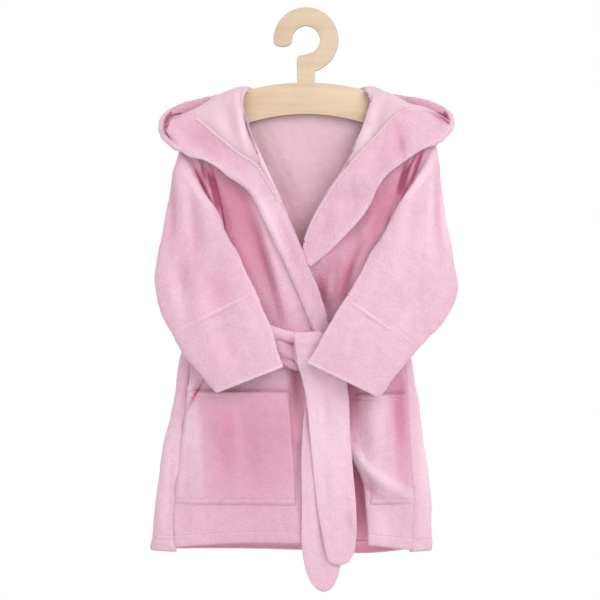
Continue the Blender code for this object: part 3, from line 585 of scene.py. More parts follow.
def cloth_material(name, light, mottle_and_loop_shade, loop_size, loop_depth, sheen, ribs=False):
    """Cotton cloth: its loops or ribs and its nap, on the map that follows the panel, mottled at
    random, with painted shade in the hollows of folds, painted highlight where folds stand out,
    and painted shade on the wrong side inside the robe."""
    made, tree, shader = new_material(name, 0.95)
    place = add_node(tree, "ShaderNodeUVMap", uv_map="cloth").outputs["UV"]
    cells = {"Vector": place, "Scale": 1 / (loop_size * MM)}
    height = add_node(tree, "ShaderNodeTexVoronoi", cells).outputs["Distance"]
    worn = ranged(tree, noise(tree, place, MOTTLE_SCALE, 4.0), 0.35, 0.7, 0.45)
    colour = mix_colours(tree, worn, light, mottle_and_loop_shade)
    # Painted shade between the loops.
    colour = mix_colours(tree, ranged(tree, height, 0.25, 0.75, 0.5), colour, mottle_and_loop_shade)
    # Both attributes are painted shade, and the first is painted highlight where it is below
    # zero.
    folded, inside_painted_shade = (
        add_node(tree, "ShaderNodeAttribute", attribute_name=attribute).outputs["Fac"]
        for attribute in ("hollow", "inside_painted_shade"))
    if ribs:
        # Painted shade on the wrong side where it lies deep inside the robe.
        colour = mix_colours(tree, inside_painted_shade, colour, PAINTED_INSIDE_SHADE_PINK)
        height = waves(tree, place, WALE_SCALE, 1.5, "X")
    # Painted shade in the hollows of folds, darkest in the deepest, and painted highlight where
    # the value is below zero.
    colour = mix_colours(tree, folded, colour, PAINTED_SHADE_PINK)
    colour = mix_colours(tree, ranged(tree, folded, 0.75, 1.1, 0.75), colour, PAINTED_DEEP_SHADE_PINK)
    colour = mix_colours(tree, ranged(tree, folded, 0.0, -1.0), colour, PAINTED_HIGHLIGHT_PINK)
    nap = noise(tree, place, NAP_SCALE, 3.0)
    bump = add_bump(tree, nap, 0.0012 if ribs else 0.0022, 0.45 if ribs else 0.6)
    bump = add_bump(tree, height, loop_depth * MM if ribs else -loop_depth * MM, 0.6, bump)
    put_values(shader, {
        "Base Color": colour, "Normal": bump, "Specular IOR Level": 0.12,
        "Sheen Weight": sheen, "Sheen Roughness": 0.4, "Sheen Tint": SHEEN_TINT})
    return made


def dyed_thread(name, light, dark):
    made, tree, shader = new_material(name, 0.6)
    place = add_node(tree, "ShaderNodeTexCoord").outputs["Object"]
    colour = mix_colours(tree, noise(tree, place, TWIST_SCALE, 1.0), light, dark)
    put_values(shader, {"Base Color": colour, "Sheen Weight": 0.3})
    return made


terry = cloth_material("terry_loops", PINK, PINK_MOTTLE_AND_LOOP_SHADE, 1.25, 0.6, 0.7)
wrong_side = cloth_material("terry_wrong_side", PALE_PINK, PALE_MOTTLE_AND_LOOP_SHADE, 0.9, 0.25, 0.35,
                            ribs=True)
thread = dyed_thread("sewing_thread", THREAD_PINK, THREAD_SHADE)
overlock_thread = dyed_thread("overlock_thread", OVERLOCK_PINK, OVERLOCK_SHADE)


def back_grid(levels):
    """The back as it hangs without its folds, level by level."""
    grid = []
    power = 2 / BODY_ROUNDNESS
    for level in levels:
        left = at(BODY, "left", level)
        right = at(BODY, "right", level)
        middle, half = (left + right) / 2, (right - left) / 2
        wrap = float(ease((SIDE_WRAP_LEVEL + WRAP_EASE / 2 - level) / WRAP_EASE))
        ends = []
        for side, name in ((-1, "right_side"), (1, "left_side")):
            edge = at(EDGES, name, level) + side * SEAM_AIR
            reach = np.clip((edge - middle) / half * side, 0, 1) ** (1 / power)
            on_back = np.pi - math.asin(reach)
            on_front = math.asin(reach) + SIDE_SEAM_TURN
            ends.append(side * (on_back + (on_front - on_back) * wrap))
        angle = np.linspace(ends[0] + 2 * np.pi, ends[1], LEVEL_SAMPLES)
        s, c = np.sin(angle), np.cos(angle)
        x = middle + half * filled(s, power)
        y = -filled(c, power) * at(BODY, "back", level)
        x, angle = evenly(x, y, BACK_COLUMNS, angle)
        s, c = np.sin(angle), np.cos(angle)
        z = level + shoulder_drop(x, level)
        z = z - neck_drop(x) * np.clip(1 - (TOP_LEVEL - level) / NECK_FADE, 0, 1)
        z = z + hem_drop(x, level, "back")
        depth = np.where(c > 0, at(BODY, "front", z), at(BODY, "back", z))
        roll = shoulder_roll(level)
        roll = roll + (1 - roll) * ease((ROLL_START_X - np.abs(x)) / NECK_FLAT)
        y = SHOULDER_GAP + (-filled(c, power) * depth - SHOULDER_GAP) * roll
        grid.append(np.stack([x, y, z], -1))
    return np.array(grid)


levels = spaced(FIRST_LEVEL, HEM_LEVEL, LEVEL_STEP, [HEM_STITCH_LEVEL])
levels = np.concatenate([ROUND_LEVELS, levels])
back_points = back_grid(levels)
back_normals = normals_of(back_points, 1)
x, y, z = np.moveaxis(back_points, -1, 0)
on_back = ease(back_normals[..., 1] * 2 + 0.3)
heights = folds(BACK_CREASES, x, z) * on_back + folds(SIDE_CREASES, x, z) * (1 - on_back)
heights += unevenness(x, z, BACK_SEED) * ease((-85 - z) / 20)
heights += turned_hem((levels - HEM_LEVEL)[:, None], HEM_WIDTH) * np.ones_like(x)
seam_distance = np.minimum(lengths(back_points, 1), lengths(back_points, 1, True))
heights += curled_edge(seam_distance, 5) * 0.5 * ease((SIDE_WRAP_LEVEL - levels) / 10)[:, None]
back_points, back_normals = raised(back_points, back_normals, heights, 1)
# Painted shade in the back's folds and at its sides, painted highlight where below zero, and
# painted shade on its inside, mostly in the V and low down.
hollow = folds(BACK_PAINTED_SHADE, x, z, 4) * on_back + folds(SIDE_PAINTED_SHADE, x, z, 4) * (1 - on_back)
back = cloth_piece("back_panel", back_points, back_normals, hollow,
                   inside_painted_shade=folds(BACK_INSIDE_PAINTED_SHADE, x, z, 4) + 0.45 * ease((-560 - z) / 20))
row = nearest(levels, HEM_STITCH_LEVEL)
back_stitches = stitch_row("back_hem_stitches", back_points[row], back_normals[row], thread)
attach(back, "root")
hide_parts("back")


# The fronts are two panels of the same terry, sewn to the back at the shoulders and the sides.
# The wearer's right one laps over the left and folds deeply beside the lapel and under the
# belt, and the left one tucks back under itself below the belt. Both have the same hem.
OVERLAP_LIFT = 6.0
OVERLAP_SIDE_X = -75.0
OVERLAP_FADE_X = 50.0
OVERLAP_TOP_Z = -165.0
OVERLAP_FADE_Z = 60.0
FRONT_SAMPLES = 160
FRONT_RIGHT_COLUMNS = 94
FRONT_LEFT_COLUMNS = 76
FRONT_FOLDS_TOP_Z = -88.0
FRONT_FOLDS_FADE = 25.0
FRONT_RIGHT_SEED = 20
FRONT_LEFT_SEED = 30
FRONT_RIGHT_CREASES = [Crease(*row) for row in (
    (-73, -205, -34, -352, 0, 12, -9.5, 0.5, -0.35), (-67, -197, -22, -357, 3, 5, 2.4, 0.4),
    (-92, -190, -72, -325, -2, 14, 3, 0.5, 0.1), (-117, -165, -95, -246, 0, 6, -4),
    (-60, -350, -28, -372, -2, 6, -2.5), (-121, -459, -122, -500, 0, 7, -2.6, 0.5, 0.2),
    (-87, -447, -78, -512, 2, 9, -2.6, 0.4, 0.1), (-103, -495, -95, -547, 0, 8, -2.4, 0.4),
    (-60, -470, -56, -560, 2, 14, 1.6), (-31, -452, -34, -562, 0, 6, -1.6),
    (-9, -378, -10, -500, 0, 8, -9, 0.4), (-10, -500, -11, -578, 0, 4, -4, 0.3),
    (-27, -578, -25, -612, 0, 7, -2), (-100, -584, -97, -618, 0, 14, 1.4),
    (-134, -424, -140, -455, 0, 6, 2.6, 0.4), (-128, -445, -131, -480, 0, 5, -2.2, 0.4),
    (-130, -560, -133, -620, 0, 8, 1.6, 0.6),
)]
FRONT_LEFT_CREASES = [Crease(*row) for row in (
    (8, -288, 27, -358, -2, 11, -10, 0.6, 0.2), (45, -252, 38, -338, 0, 7, 3.4),
    (61, -248, 52, -330, 1, 7, -4.4), (78, -232, 66, -300, 1, 8, 2),
    (115, -165, 99, -243, 0, 6, -4), (96, -196, 22, -292, -3, 11, -6),
    (42, -488, 126, -562, -9, 10, 7.5, 0.5, 0.3), (48, -516, 108, -572, -7, 5, -2.5, 0.4),
    (112, -428, 111, -512, -1, 6, -5), (122, -530, 121, -568, 0, 4, -4),
    (86, -446, 82, -520, 0, 10, 3), (113, -572, 113, -612, 0, 6, -1.8),
    (84, -578, 83, -612, 0, 9, 1.8), (98, -582, 100, -618, 0, 6, -1.2),
)]


def overlap_lift(x, z):
    """How far the wearer's right front stands proud of the left front."""
    across = ease((x - OVERLAP_SIDE_X) / OVERLAP_FADE_X)
    return OVERLAP_LIFT * across * ease((OVERLAP_TOP_Z - z) / OVERLAP_FADE_Z)


def no_lift(x, z):
    return 0 * x


# Painted shade: deep on each front between the sleeve and the lapel, and less so below the belt.
FRONT_RIGHT_PAINTED_SHADE = [Crease(*row) for row in (
    (-112, -145, -44, -350, 0, 25, 0.68, 0.35), (-72, -212, -20, -368, 0, 5, 0.34, 0.55, -0.2),
    (-117, -158, -98, -248, 1, 3.8, 0.8), (-68, -128, -34, -212, 3, 5, -1),
    (-95, -250, -50, -345, 0, 7, 0.25, 0.4), (-57, -205, -12, -345, 0, 6, -0.35),
    (-64, -400, -64, -600, 0, 74, 0.34, 0.4), (-12, -385, -12, -500, 0, 10, 0.42, 0.2),
    (-124, -424, -30, -420, 0, 14, -0.3), (-140, -425, -150, -560, 0, 6, -0.4),
    (-102, -445, -96, -545, 2, 14, 0.12, 0.4), (-62, -470, -58, -560, 1, 6, 0.08),
    (-136, -436, -129, -560, 0, 8, -0.42), (-120, -420, -146, -468, 0, 1.9, 1, 0.4),
    (-130, -415, -146, -452, 0, 4, -0.6), (-62, -440, -62, -600, 0, 46, 0.14, 0.4),
    (-84, -450, -76, -540, 1, 6, -0.09),
)]
FRONT_LEFT_PAINTED_SHADE = [Crease(*row) for row in (
    (128, -150, 44, -280, 0, 19, 0.66, 0.45), (46, -262, 20, -360, 0, 20, 0.58),
    (36, -272, 25, -345, 0, 4, -0.3), (66, -250, 36, -350, 0, 4, 0.2),
    (78, -247, 53, -314, 0, 4, -0.16), (96, -225, 44, -318, 0, 9, 0.35),
    (127, -140, 102, -238, 0, 4, 0.75), (44, -172, -2, -270, -2, 4, -0.9),
    (8, -280, 22, -340, 0, 7, 0.3, 0.4), (88, -390, 92, -520, 0, 40, 0.08, 0.4),
    (54, -396, 56, -500, 0, 9, 0.62, 0.3), (109, -396, 118, -562, 0, 10, 0.6, 0.35),
    (86, -405, 84, -525, 0, 10, -0.42, 0.4), (42, -490, 128, -562, -9, 8, -0.75),
    (46, -517, 104, -572, -7, 3.6, 0.55, 0.4), (86, -575, 90, -640, 0, 12, -0.3, 0.4),
    (90, -590, 92, -620, 0, 14, -0.15),
)]


def right_front_folds(x, z):
    """Height of the right front's folds, which all that lies on it follows."""
    return folds(FRONT_RIGHT_CREASES, x, z) + unevenness(x, z, FRONT_RIGHT_SEED)


def left_front_folds(x, z):
    """Height of the left front's folds, which give way to the right front's deep ones."""
    pushed = np.minimum(folds(FRONT_RIGHT_CREASES, x, z), 0)
    return folds(FRONT_LEFT_CREASES, x, z) + pushed + unevenness(x, z, FRONT_LEFT_SEED)


def front_grid(side_column, free_column, lift, columns):
    """A front panel without its folds, from its side to its free edge at each level."""
    grid = []
    for level in levels:
        x = np.linspace(at(EDGES, side_column, level), at(EDGES, free_column, level),
                        FRONT_SAMPLES)
        x = evenly(x, front_y(x, level), columns)[0]
        z = level + shoulder_drop(x, level) + hem_drop(x, level, "front")
        y = -SHOULDER_GAP + (front_y(x, z) - lift(x, z) + SHOULDER_GAP) * shoulder_roll(level)
        grid.append(np.stack([x, y, z], -1))
    return np.array(grid)


Front = namedtuple("Front", "name node side free lift folded hollows columns flat area")
FRONTS = [
    Front("front_panel_right", "front_right", "right_side", "right_free", overlap_lift,
          right_front_folds, FRONT_RIGHT_PAINTED_SHADE, FRONT_RIGHT_COLUMNS, (0.20, 0.55), 0.077),
    Front("front_panel_left", "front_left", "left_side", "left_free", no_lift,
          left_front_folds, FRONT_LEFT_PAINTED_SHADE, FRONT_LEFT_COLUMNS, (0.17, 0.55), 0.053),
]
for front in FRONTS:
    points = front_grid(front.side, front.free, front.lift, front.columns)
    normals = normals_of(points, -1)
    x, y, z = np.moveaxis(points, -1, 0)
    heights = front.folded(x, z) * ease((FRONT_FOLDS_TOP_Z - z) / FRONT_FOLDS_FADE)
    heights += turned_hem((levels - HEM_LEVEL)[:, None], HEM_WIDTH)
    heights += curled_edge(lengths(points, 1), 2) * 0.35
    heights += curled_edge(lengths(points, 1, True), 3) * 0.6
    points, normals = raised(points, normals, heights, -1)
    # Painted shade in the front's recesses and folds, and painted highlight where below zero.
    panel = cloth_piece(front.name, points, normals, folds(front.hollows, x, z, 4))
    stitches = stitch_row(f"{front.name}_hem_stitches", points[row], normals[row], thread)
    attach(panel, "root")
    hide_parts(front.node)


# The patch pockets are single terry with a turned and stitched mouth. Two rows of stitches
# hold them at the bottom and one at the inner edge, the outer edge is caught in the side seam,
# and each stands slightly away from the front, with whose folds it hangs.
POCKET_PITCH = 2.0
POCKET_LIFT = 2.8
POCKET_BULGE = 5.0
POCKET_CLOSING = 60.0
MOUTH_HEM = 9.0
POCKET_FOOT_ROW = 7.0
POCKET_EDGE_ROW = 4.0
PocketRow = namedtuple("PocketRow", "z side inner")
POCKET_RIGHT = [PocketRow(*row) for row in (
    (-438, -142, -19), (-450, -144, -18), (-480, -148, -16), (-510, -151.5, -14),
    (-545, -155.5, -12), (-573, -158, -11),
)]
POCKET_LEFT = [PocketRow(*row) for row in (
    (-441, 121, 50), (-465, 123, 51), (-495, 124.5, 54), (-520, 126, 61), (-545, 127, 69),
    (-573, 128, 73),
)]


def pocket_grid(table, lift, heights, shares, merge):
    """A pocket without its folds, from its mouth down and from its side to its inner edge,
    near which it may merge with the front."""
    grid = []
    lowest = table[-1].z
    for z in heights:
        side, inner = at(table, "side", z), at(table, "inner", z)
        x = side + (inner - side) * shares
        closing = np.sin(np.pi / 2 * min(1, (z - lowest) / POCKET_CLOSING))
        bulge = POCKET_BULGE * np.sin(np.pi * shares) ** 0.7 * closing
        stand = ease(np.abs(x - inner) / (merge * (0.15 + 0.85 * closing)))
        y = front_y(x, z) - lift(x, z) - (POCKET_LIFT + bulge) * stand + 1.2 * (1 - stand)
        grid.append(np.stack([x, y, np.full_like(x, z)], -1))
    return np.array(grid)


Pocket = namedtuple("Pocket", "name node table lift folded hollows merge flat area")
POCKETS = [
    Pocket("pocket_patch_right", "pocket_right", POCKET_RIGHT, overlap_lift, right_front_folds,
           FRONT_RIGHT_PAINTED_SHADE, 0.5, (0.145, 0.14), 0.0190),
    Pocket("pocket_patch_left", "pocket_left", POCKET_LEFT, no_lift, left_front_folds,
           FRONT_LEFT_PAINTED_SHADE, 32.0, (0.08, 0.135), 0.0088),
]
for pocket in POCKETS:
    top, bottom = pocket.table[0].z, pocket.table[-1].z
    mouth_row, foot_row = top - MOUTH_HEM + STITCH_IN, bottom + POCKET_FOOT_ROW
    drops = spaced(top, bottom, POCKET_PITCH, (mouth_row, foot_row))
    width = abs(pocket.table[0].side - pocket.table[0].inner)
    shares = spaced(0, width, POCKET_PITCH, [width - POCKET_EDGE_ROW]) / width
    points = pocket_grid(pocket.table, pocket.lift, drops, shares, pocket.merge)
    normals = normals_of(points, -1)
    x, y, z = np.moveaxis(points, -1, 0)
    to_inner = lengths(points, 1, True)
    to_side = lengths(points, 1)
    above_bottom = (drops - bottom)[:, None]
    heights = pocket.folded(x, z)
    heights += turned_hem((top - drops)[:, None], MOUTH_HEM)
    heights += curled_edge(above_bottom, 2) * 0.4
    heights -= 0.9 * bell(above_bottom - POCKET_FOOT_ROW, 1.4)
    heights -= 2.2 * (1 - ease(above_bottom / 5))
    if pocket.merge < 1:
        heights += curled_edge(to_inner, 2.5) * 0.8
        heights -= 1.1 * bell(to_inner - POCKET_EDGE_ROW, 1.2)
        heights -= 2.6 * (1 - ease(to_inner / 2.5)) ** 2
    heights -= 2.6 * (1 - ease(to_side / 5)) + 0.8 * (1 - ease(to_side / 30))
    points, normals = raised(points, normals, heights, -1)
    # The pocket takes its front's painted shade and painted highlight.
    patch = cloth_piece(pocket.name, points, normals, folds(pocket.hollows, x, z, 4))
    mouth, foot = nearest(drops, mouth_row), nearest(drops, foot_row)
    edge = nearest(shares * width, width - POCKET_EDGE_ROW)
    shown = slice(4, int(len(shares) * (1 if pocket.merge < 1 else 0.7)))
    lines = {"mouth": (mouth, shown), "foot": (foot, slice(4, -1))}
    if pocket.merge < 1:
        lines["edge"] = (slice(mouth, None), edge)
    stitches = [
        stitch_row(f"{pocket.name}_{place}_stitches", points[line], normals[line], thread)
        for place, line in lines.items()]
    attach(patch, "root")
    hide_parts(pocket.node)


# The sleeves are wide and set in: gathered a little at the armhole, where the seam allowance
# turns in under the front, then folded flat as they hang in front of the body. A deep hem,
# turned up on the inside, shows as a double row of stitches some way above the open cuff.
SLEEVE_SIDES = 168
TURN_SAMPLES = 721
SLEEVE_OUT = 2.3
SLEEVE_TUCK = 5.0
SLEEVE_STEP = 1.9
HEM_ZONE = (112.0, 60.0)  # from the cuff, where the hem's stitches need a finer grid
CUFF_ROWS = 26
HEM_ROWS = 5.5
SleeveRing = namedtuple("SleeveRing", "outer_x outer_z inner_x inner_z outer_y inner_y depth")
SLEEVE_RIGHT = [SleeveRing(*row) for row in (
    (-149.5, -150, -98.5, -249, -1, -5, 12), (-159.5, -190, -95.5, -255, -6, -21, 10),
    (-168.5, -233, -84.5, -269.5, -14, -28, 8.5), (-174.5, -272, -75, -289, -22, -30, 8.5),
    (-178.5, -312, -65, -310, -27, -31, 8.5), (-169.5, -345, -55.5, -331, -30, -33, 8.5),
    (-151, -381, -45.5, -354, -32, -35, 8), (-129, -411, -36.5, -381, -35, -37.5, 8),
    (-105, -438, -28, -408, -36, -38.5, 8),
)]
SLEEVE_LEFT = [SleeveRing(*row) for row in (
    (152.5, -145, 97.5, -245, -1, -5, 12), (158.5, -185, 92, -252, -6, -21, 10),
    (166, -228, 83, -265, -14, -28, 8.5), (172.5, -270, 73.5, -281, -22, -30, 8.5),
    (179, -316, 63, -301, -27, -33, 8.5), (164.5, -350, 49, -326, -30, -39, 8),
    (141, -376, 34, -349, -35, -47, 7.5), (115.5, -404, 17, -378, -42, -52, 7),
    (85, -443, 2.5, -403, -46, -52, 7),
)]
SLEEVE_RIGHT_CREASES = [Crease(*row) for row in (
    (-147, -156, -88, -270, -2, 12, 10.5, 0.45, -0.82), (-137, -158, -103, -238, -1, 3, -3.6),
    (-131, -158, -105, -228, 0, 2.4, 3), (-125, -158, -106, -216, 0, 2.2, -3),
    (-154, -166, -150, -235, 2, 7, 3.4, 0.4, 0.2), (-160, -185, -160, -270, 1, 6, -2.8, 0.4),
    (-140, -185, -131, -262, 2, 8, -2.6, 0.4), (-122, -222, -108, -300, 1, 9, 2.4),
    (-146, -262, -150, -340, 0, 10, -3.2), (-112, -285, -97, -345, 0, 15, -3.6),
    (-128, -300, -120, -372, 0, 9, 2.8), (-76, -325, -56, -388, 0, 11, 2.6),
    (-122, -350, -98, -425, 3, 11, 2.6), (-98, -352, -74, -415, 0, 9, -2.6),
    (-166, -298, -148, -368, 4, 8, 3), (-143, -361.5, -69, -325, 0, 2.6, 0.6, 0.55),
)]
SLEEVE_LEFT_CREASES = [Crease(*row) for row in (
    (153, -146, 93, -256, 3, 12, 10.5, 0.45, 0.82), (144, -146, 105, -226, 2, 3, -3.6),
    (138, -146, 107, -215, 1, 2.4, 3), (132, -146, 108, -204, 1, 2.2, -3),
    (148, -168, 143, -275, 1, 6, 3.8, 0.4), (155, -182, 160, -288, -1, 6, -3.4),
    (134, -200, 122, -275, -1, 8, -3, 0.4), (112, -250, 94, -330, 0, 13, 2.8),
    (138, -290, 130, -352, 0, 12, -3.2), (112, -300, 98, -372, 0, 9, -2.4),
    (72, -318, 44, -388, 2, 11, 2.8), (98, -352, 72, -425, 0, 10, -2.6),
    (60, -372, 52, -412, 0, 7, -2), (168, -300, 150, -362, -3, 9, 2.8),
    (51, -332, 122, -378, 0, 2.6, 0.7, 0.3),
)]
# Painted shade on each sleeve beside its fold edge and in its folds, and painted highlight where
# below zero.
SLEEVE_RIGHT_PAINTED_SHADE = [Crease(*row) for row in (
    (-130, -152, -104, -232, 0, 11, 0.45, 0.4), (-119, -154, -100, -246, 0, 4.2, 1),
    (-140, -156, -117, -204, -1, 2.4, 0.8), (-128, -160, -117, -196, 0, 1.8, 0.6, 0.4),
    (-152, -158, -104, -246, -2, 3.5, -0.5), (-140, -270, -134, -345, 0, 12, 0.12),
    (-108, -290, -96, -345, 0, 12, 0.1), (-156, -176, -160, -280, 0, 5, 0.22),
    (-128, -216, -124, -300, 0, 8, 0.14), (-144, -180, -138, -270, 0, 5, -0.2),
    (-88, -352, -66, -410, 0, 7, -0.15), (-160, -290, -150, -365, 3, 7, -0.18),
    (-143, -360.5, -69, -324, 0, 1.8, -0.34, 0.55), (-143, -364, -69, -327.5, 0, 1.8, 0.22, 0.55),
)]
SLEEVE_LEFT_PAINTED_SHADE = [Crease(*row) for row in (
    (139, -136, 108, -216, 0, 11, 0.45, 0.4), (129, -138, 104, -234, 0, 5.6, 0.95),
    (146, -132, 120, -202, 0, 3, 0.95), (158, -146, 106, -236, 3, 3.5, -0.5),
    (150, -170, 128, -330, 0, 34, -0.34, 0.4), (153, -170, 158, -285, 0, 5, 0.3, 0.4),
    (163, -190, 170, -285, 0, 5, -0.3, 0.4), (100, -262, 70, -330, 0, 7, -0.2),
    (130, -215, 118, -290, 0, 6, 0.14), (122, -330, 100, -390, 0, 14, -0.15),
    (98, -345, 74, -415, 0, 20, -0.16), (51, -335, 121, -380.5, 0, 1.8, 0.3, 0.3),
    (52, -331, 122, -376.5, 0, 1.8, -0.36, 0.3),
)]
# Behind, where nothing shows in front, both sleeves hang in folds of the same kind.
SLEEVE_REAR_CREASES = [Crease(*row) for row in (
    (148, -170, 132, -300, 2, 9, 2.6, 0.4), (126, -190, 112, -320, -2, 8, -2.6),
    (160, -230, 150, -350, 2, 8, -2), (104, -290, 62, -395, 4, 11, 2.2),
    (140, -320, 96, -420, -3, 10, -2),
)]


def sleeve_rings(table, side, turn):
    """The sleeve's control rings, from the tucked armhole round the elbow to the cuff."""
    name = "right_side" if side < 0 else "left_side"
    level = TOP_LEVEL + (UNDERARM_LEVEL - TOP_LEVEL) * (1 - np.cos(turn)) / 2
    x = at(EDGES, name, level)
    z = level + shoulder_drop(x, level)
    flat = np.abs(np.sin(turn)) ** 0.5
    y = np.where(np.sin(turn) > 0, front_y(x, z), back_y(x, z)) * flat
    above = np.maximum(np.cos(turn), 0) * SLEEVE_OUT
    armhole = np.stack([x + side * SLEEVE_OUT, y, z + above], -1)
    tucked = np.stack([x - side * SLEEVE_TUCK, y * 0.72, z - above], -1)
    rings = [tucked, armhole]
    lean, belly = filled(np.cos(turn), 0.85), filled(np.sin(turn), 0.6)
    share = (1 - lean) / 2
    for ring in table:
        x = ring.outer_x + (ring.inner_x - ring.outer_x) * share
        z = ring.outer_z + (ring.inner_z - ring.outer_z) * share
        y = ring.outer_y + (ring.inner_y - ring.outer_y) * share
        rings.append(np.stack([x, y - ring.depth * belly, z], -1))
    return np.array(rings)


def line_at(points, values, wanted):
    """Points of a grid's columns where a value that falls down each column is as wanted."""
    line = []
    for j in range(points.shape[1]):
        row = np.interp(wanted[j], values[::-1, j], np.arange(len(points))[::-1])
        low = min(int(row), len(points) - 2)
        line.append(points[low, j] + (points[low + 1, j] - points[low, j]) * (row - low))
    return np.array(line)


# The hem is deeper on the inner side than on the outer one, as each sleeve twists.
Sleeve = namedtuple(
    "Sleeve", "name node table side creases hollows seed hem_outer hem_inner area")
SLEEVES = [
    Sleeve("sleeve_cloth_right", "sleeve_right", SLEEVE_RIGHT, -1, SLEEVE_RIGHT_CREASES,
           SLEEVE_RIGHT_PAINTED_SHADE, 40, 84.0, 92.0, 0.056),
    Sleeve("sleeve_cloth_left", "sleeve_left", SLEEVE_LEFT, 1, SLEEVE_LEFT_CREASES,
           SLEEVE_LEFT_PAINTED_SHADE, 50, 72.0, 94.0, 0.060),
]
for sleeve in SLEEVES:
    turn = np.linspace(0, 2 * np.pi, TURN_SAMPLES)
    run = lengths(sleeve_rings(sleeve.table, sleeve.side, turn), 1).mean(0)
    turn = np.interp(np.linspace(0, run[-1], SLEEVE_SIDES, endpoint=False), run, turn)
    rings = sleeve_rings(sleeve.table, sleeve.side, turn)
    keys = run_of(np.linalg.norm(np.diff(rings, axis=0), axis=-1).mean(1))
    hem_start, hem_end = (keys[-1] - reach for reach in HEM_ZONE)
    stops = np.concatenate([np.arange(0, hem_start, SLEEVE_STEP),
                            np.arange(hem_start, hem_end, SLEEVE_STEP / 2),
                            np.linspace(hem_end, keys[-1], CUFF_ROWS)])
    points = smooth(keys, rings, stops)
    middle, front = len(stops) // 2, nearest(turn, np.pi / 2)
    normals = normals_of(points, -1, True, middle, front)
    x, y, z = np.moveaxis(points, -1, 0)
    to_cuff = lengths(points, 0, True)
    hem = sleeve.hem_outer + (sleeve.hem_inner - sleeve.hem_outer) * (1 - np.cos(turn)) / 2
    ahead = ease(0.5 - normals[..., 1])
    heights = folds(sleeve.creases, x, z) * ahead
    heights += folds(SLEEVE_REAR_CREASES, np.abs(x), z) * (1 - ahead)
    heights *= ease((stops - 4) / 9)[:, None]
    heights += unevenness(x, z, sleeve.seed) * ease(stops / 30)[:, None]
    for seam in (hem, hem + HEM_ROWS):
        heights += -0.55 * bell(to_cuff - seam, 1.3)
    heights += 0.3 * bell(to_cuff - hem - HEM_ROWS / 2, 1.6)
    heights += 0.3 * ease((hem - to_cuff) / 4) - 0.9 * (1 - ease(to_cuff / 3))
    points, normals = raised(points, normals, heights, -1, True, middle, front)
    # Painted shade and highlight from the tables and the creases, a painted highlight at the
    # cuff's edge, and a painted highlight along the sleeve's inner fold edge below the armhole.
    hollow = (folds(sleeve.hollows, x, z, 4) - 0.04 * folds(sleeve.creases[4:], x, z)) * ahead
    hollow = hollow - 0.05 * folds(SLEEVE_REAR_CREASES, np.abs(x), z) * (1 - ahead)
    hollow = hollow - 0.8 * (1 - ease((to_cuff - 1) / 3))
    off_fold = ease(np.abs(np.cos(turn) + 1) * 26 / 3)[None, :]
    hollow = hollow - 0.5 * (1 - off_fold) * ease((stops - 60) / 40)[:, None]
    tube = cloth_piece(sleeve.name, points, normals, hollow, True)
    stitches = []
    for number, seam in enumerate((hem, hem + HEM_ROWS)):
        around = np.append(np.arange(SLEEVE_SIDES), 0)
        stitches.append(stitch_row(f"{sleeve.name}_stitches_{number}",
                                   line_at(points, to_cuff, seam)[around],
                                   line_at(normals, to_cuff, seam)[around], thread))
    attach(tube, "root")
    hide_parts(sleeve.node)


# The hood is two halves joined by a seam that runs over the head. It hangs open behind the
# neck as a flat sack: its wrong side, paler and flatter, shows in front of the shoulders, and
# its loops show from behind. A strip of terry faces the rear rim on the inside.
CREST_BEND = 10.0
CREST_BEND_SHARE = 0.6
NECK_SEAM_Y = 6.4
NECK_SEAM_LEAN = 0.8
NECK_SEAM_END = 62.0
NECK_GAP = 1.4
CREST_BACK_SHARE = 0.9
CREST_ARM_SHARE = 0.1
TURN_ARM_SHARE = 0.62
TURN_DROP = 0.16
ARM_PASS_X = 66.0
ARM_PASS_WIDTH = 8.0
WALL_TOP_LEVEL = -95.0
FAR_WALL_LEVEL = -215.0
HOOD_LIFT = 5.0
HOOD_SLACK = 1.5
HOOD_WALL_GAP = 3.2
HOOD_FULLNESS = 14.0
HOOD_TIP_FULLNESS = 8.0
HOOD_TIP_X = 175.0
HOOD_STEP = 2.3
TIP_PINCH = 0.12
TIP_LENGTH = 2.5
DOWN_PARTS = (0.05, 0.25, 0.55, 0.85)
UP_PARTS = (0.12, 0.45, 0.8, 1)
FACING_LIFT = 2.8
FACING_WIDTH = 34.0
CENTRE_ROW = 7.0  # from the centre seam to its stitches
CENTRE_ROW_SHARE = 0.62  # of the way round the hood, where that row starts
RIM_ROW_SHARE = 0.6
FAR_WALL_SHARE = 0.58
FAR_WALL_FADE = 0.1
HOOD_SHADE_Z = -175.0
HOOD_SHADE_FADE = 40.0
TIP_SHADE_X = 144.0
TIP_SHADE_Z = -140.0
TIP_SHADE_FADE = 20.0
HoodRib = namedtuple("HoodRib", "front_x front_z crest_x crest_z bottom_z rim_x rim_z")
# Over the neck both halves have the same ribs.
HOOD_MIDDLE = [HoodRib(*row) for row in (
    (0.3, -95, 0.3, -89, -284, 0.3, -88), (24, -93, 24, -87, -281, 24, -87),
    (46, -87.5, 46, -82, -271, 48, -84), (60, -82, 60, -77, -260, 64, -78),
    (67, -79, 67, -74, -252, 73, -75.5), (73, -82, 73.5, -73.5, -246, 79, -75.5),
)]
HOOD_RIGHT = HOOD_MIDDLE + [HoodRib(*row) for row in (
    (75, -95, 77, -73.7, -241, 84, -76), (72, -116, 80, -74, -236, 89, -76.5),
    (63, -140, 84, -75, -230, 94, -78), (56, -163, 90, -77, -222, 101, -79),
    (73, -178, 99, -80.5, -211, 111, -80.5), (92, -174, 110, -85.5, -196, 123, -83),
    (115, -159, 122, -93.5, -177, 137, -87), (136, -153, 137, -102, -157, 150, -91),
    (150, -148, 150, -107, -140, 160, -96), (160, -139, 160, -111, -128, 168, -103),
    (167, -130, 166, -117, -124, 171, -110),
)]
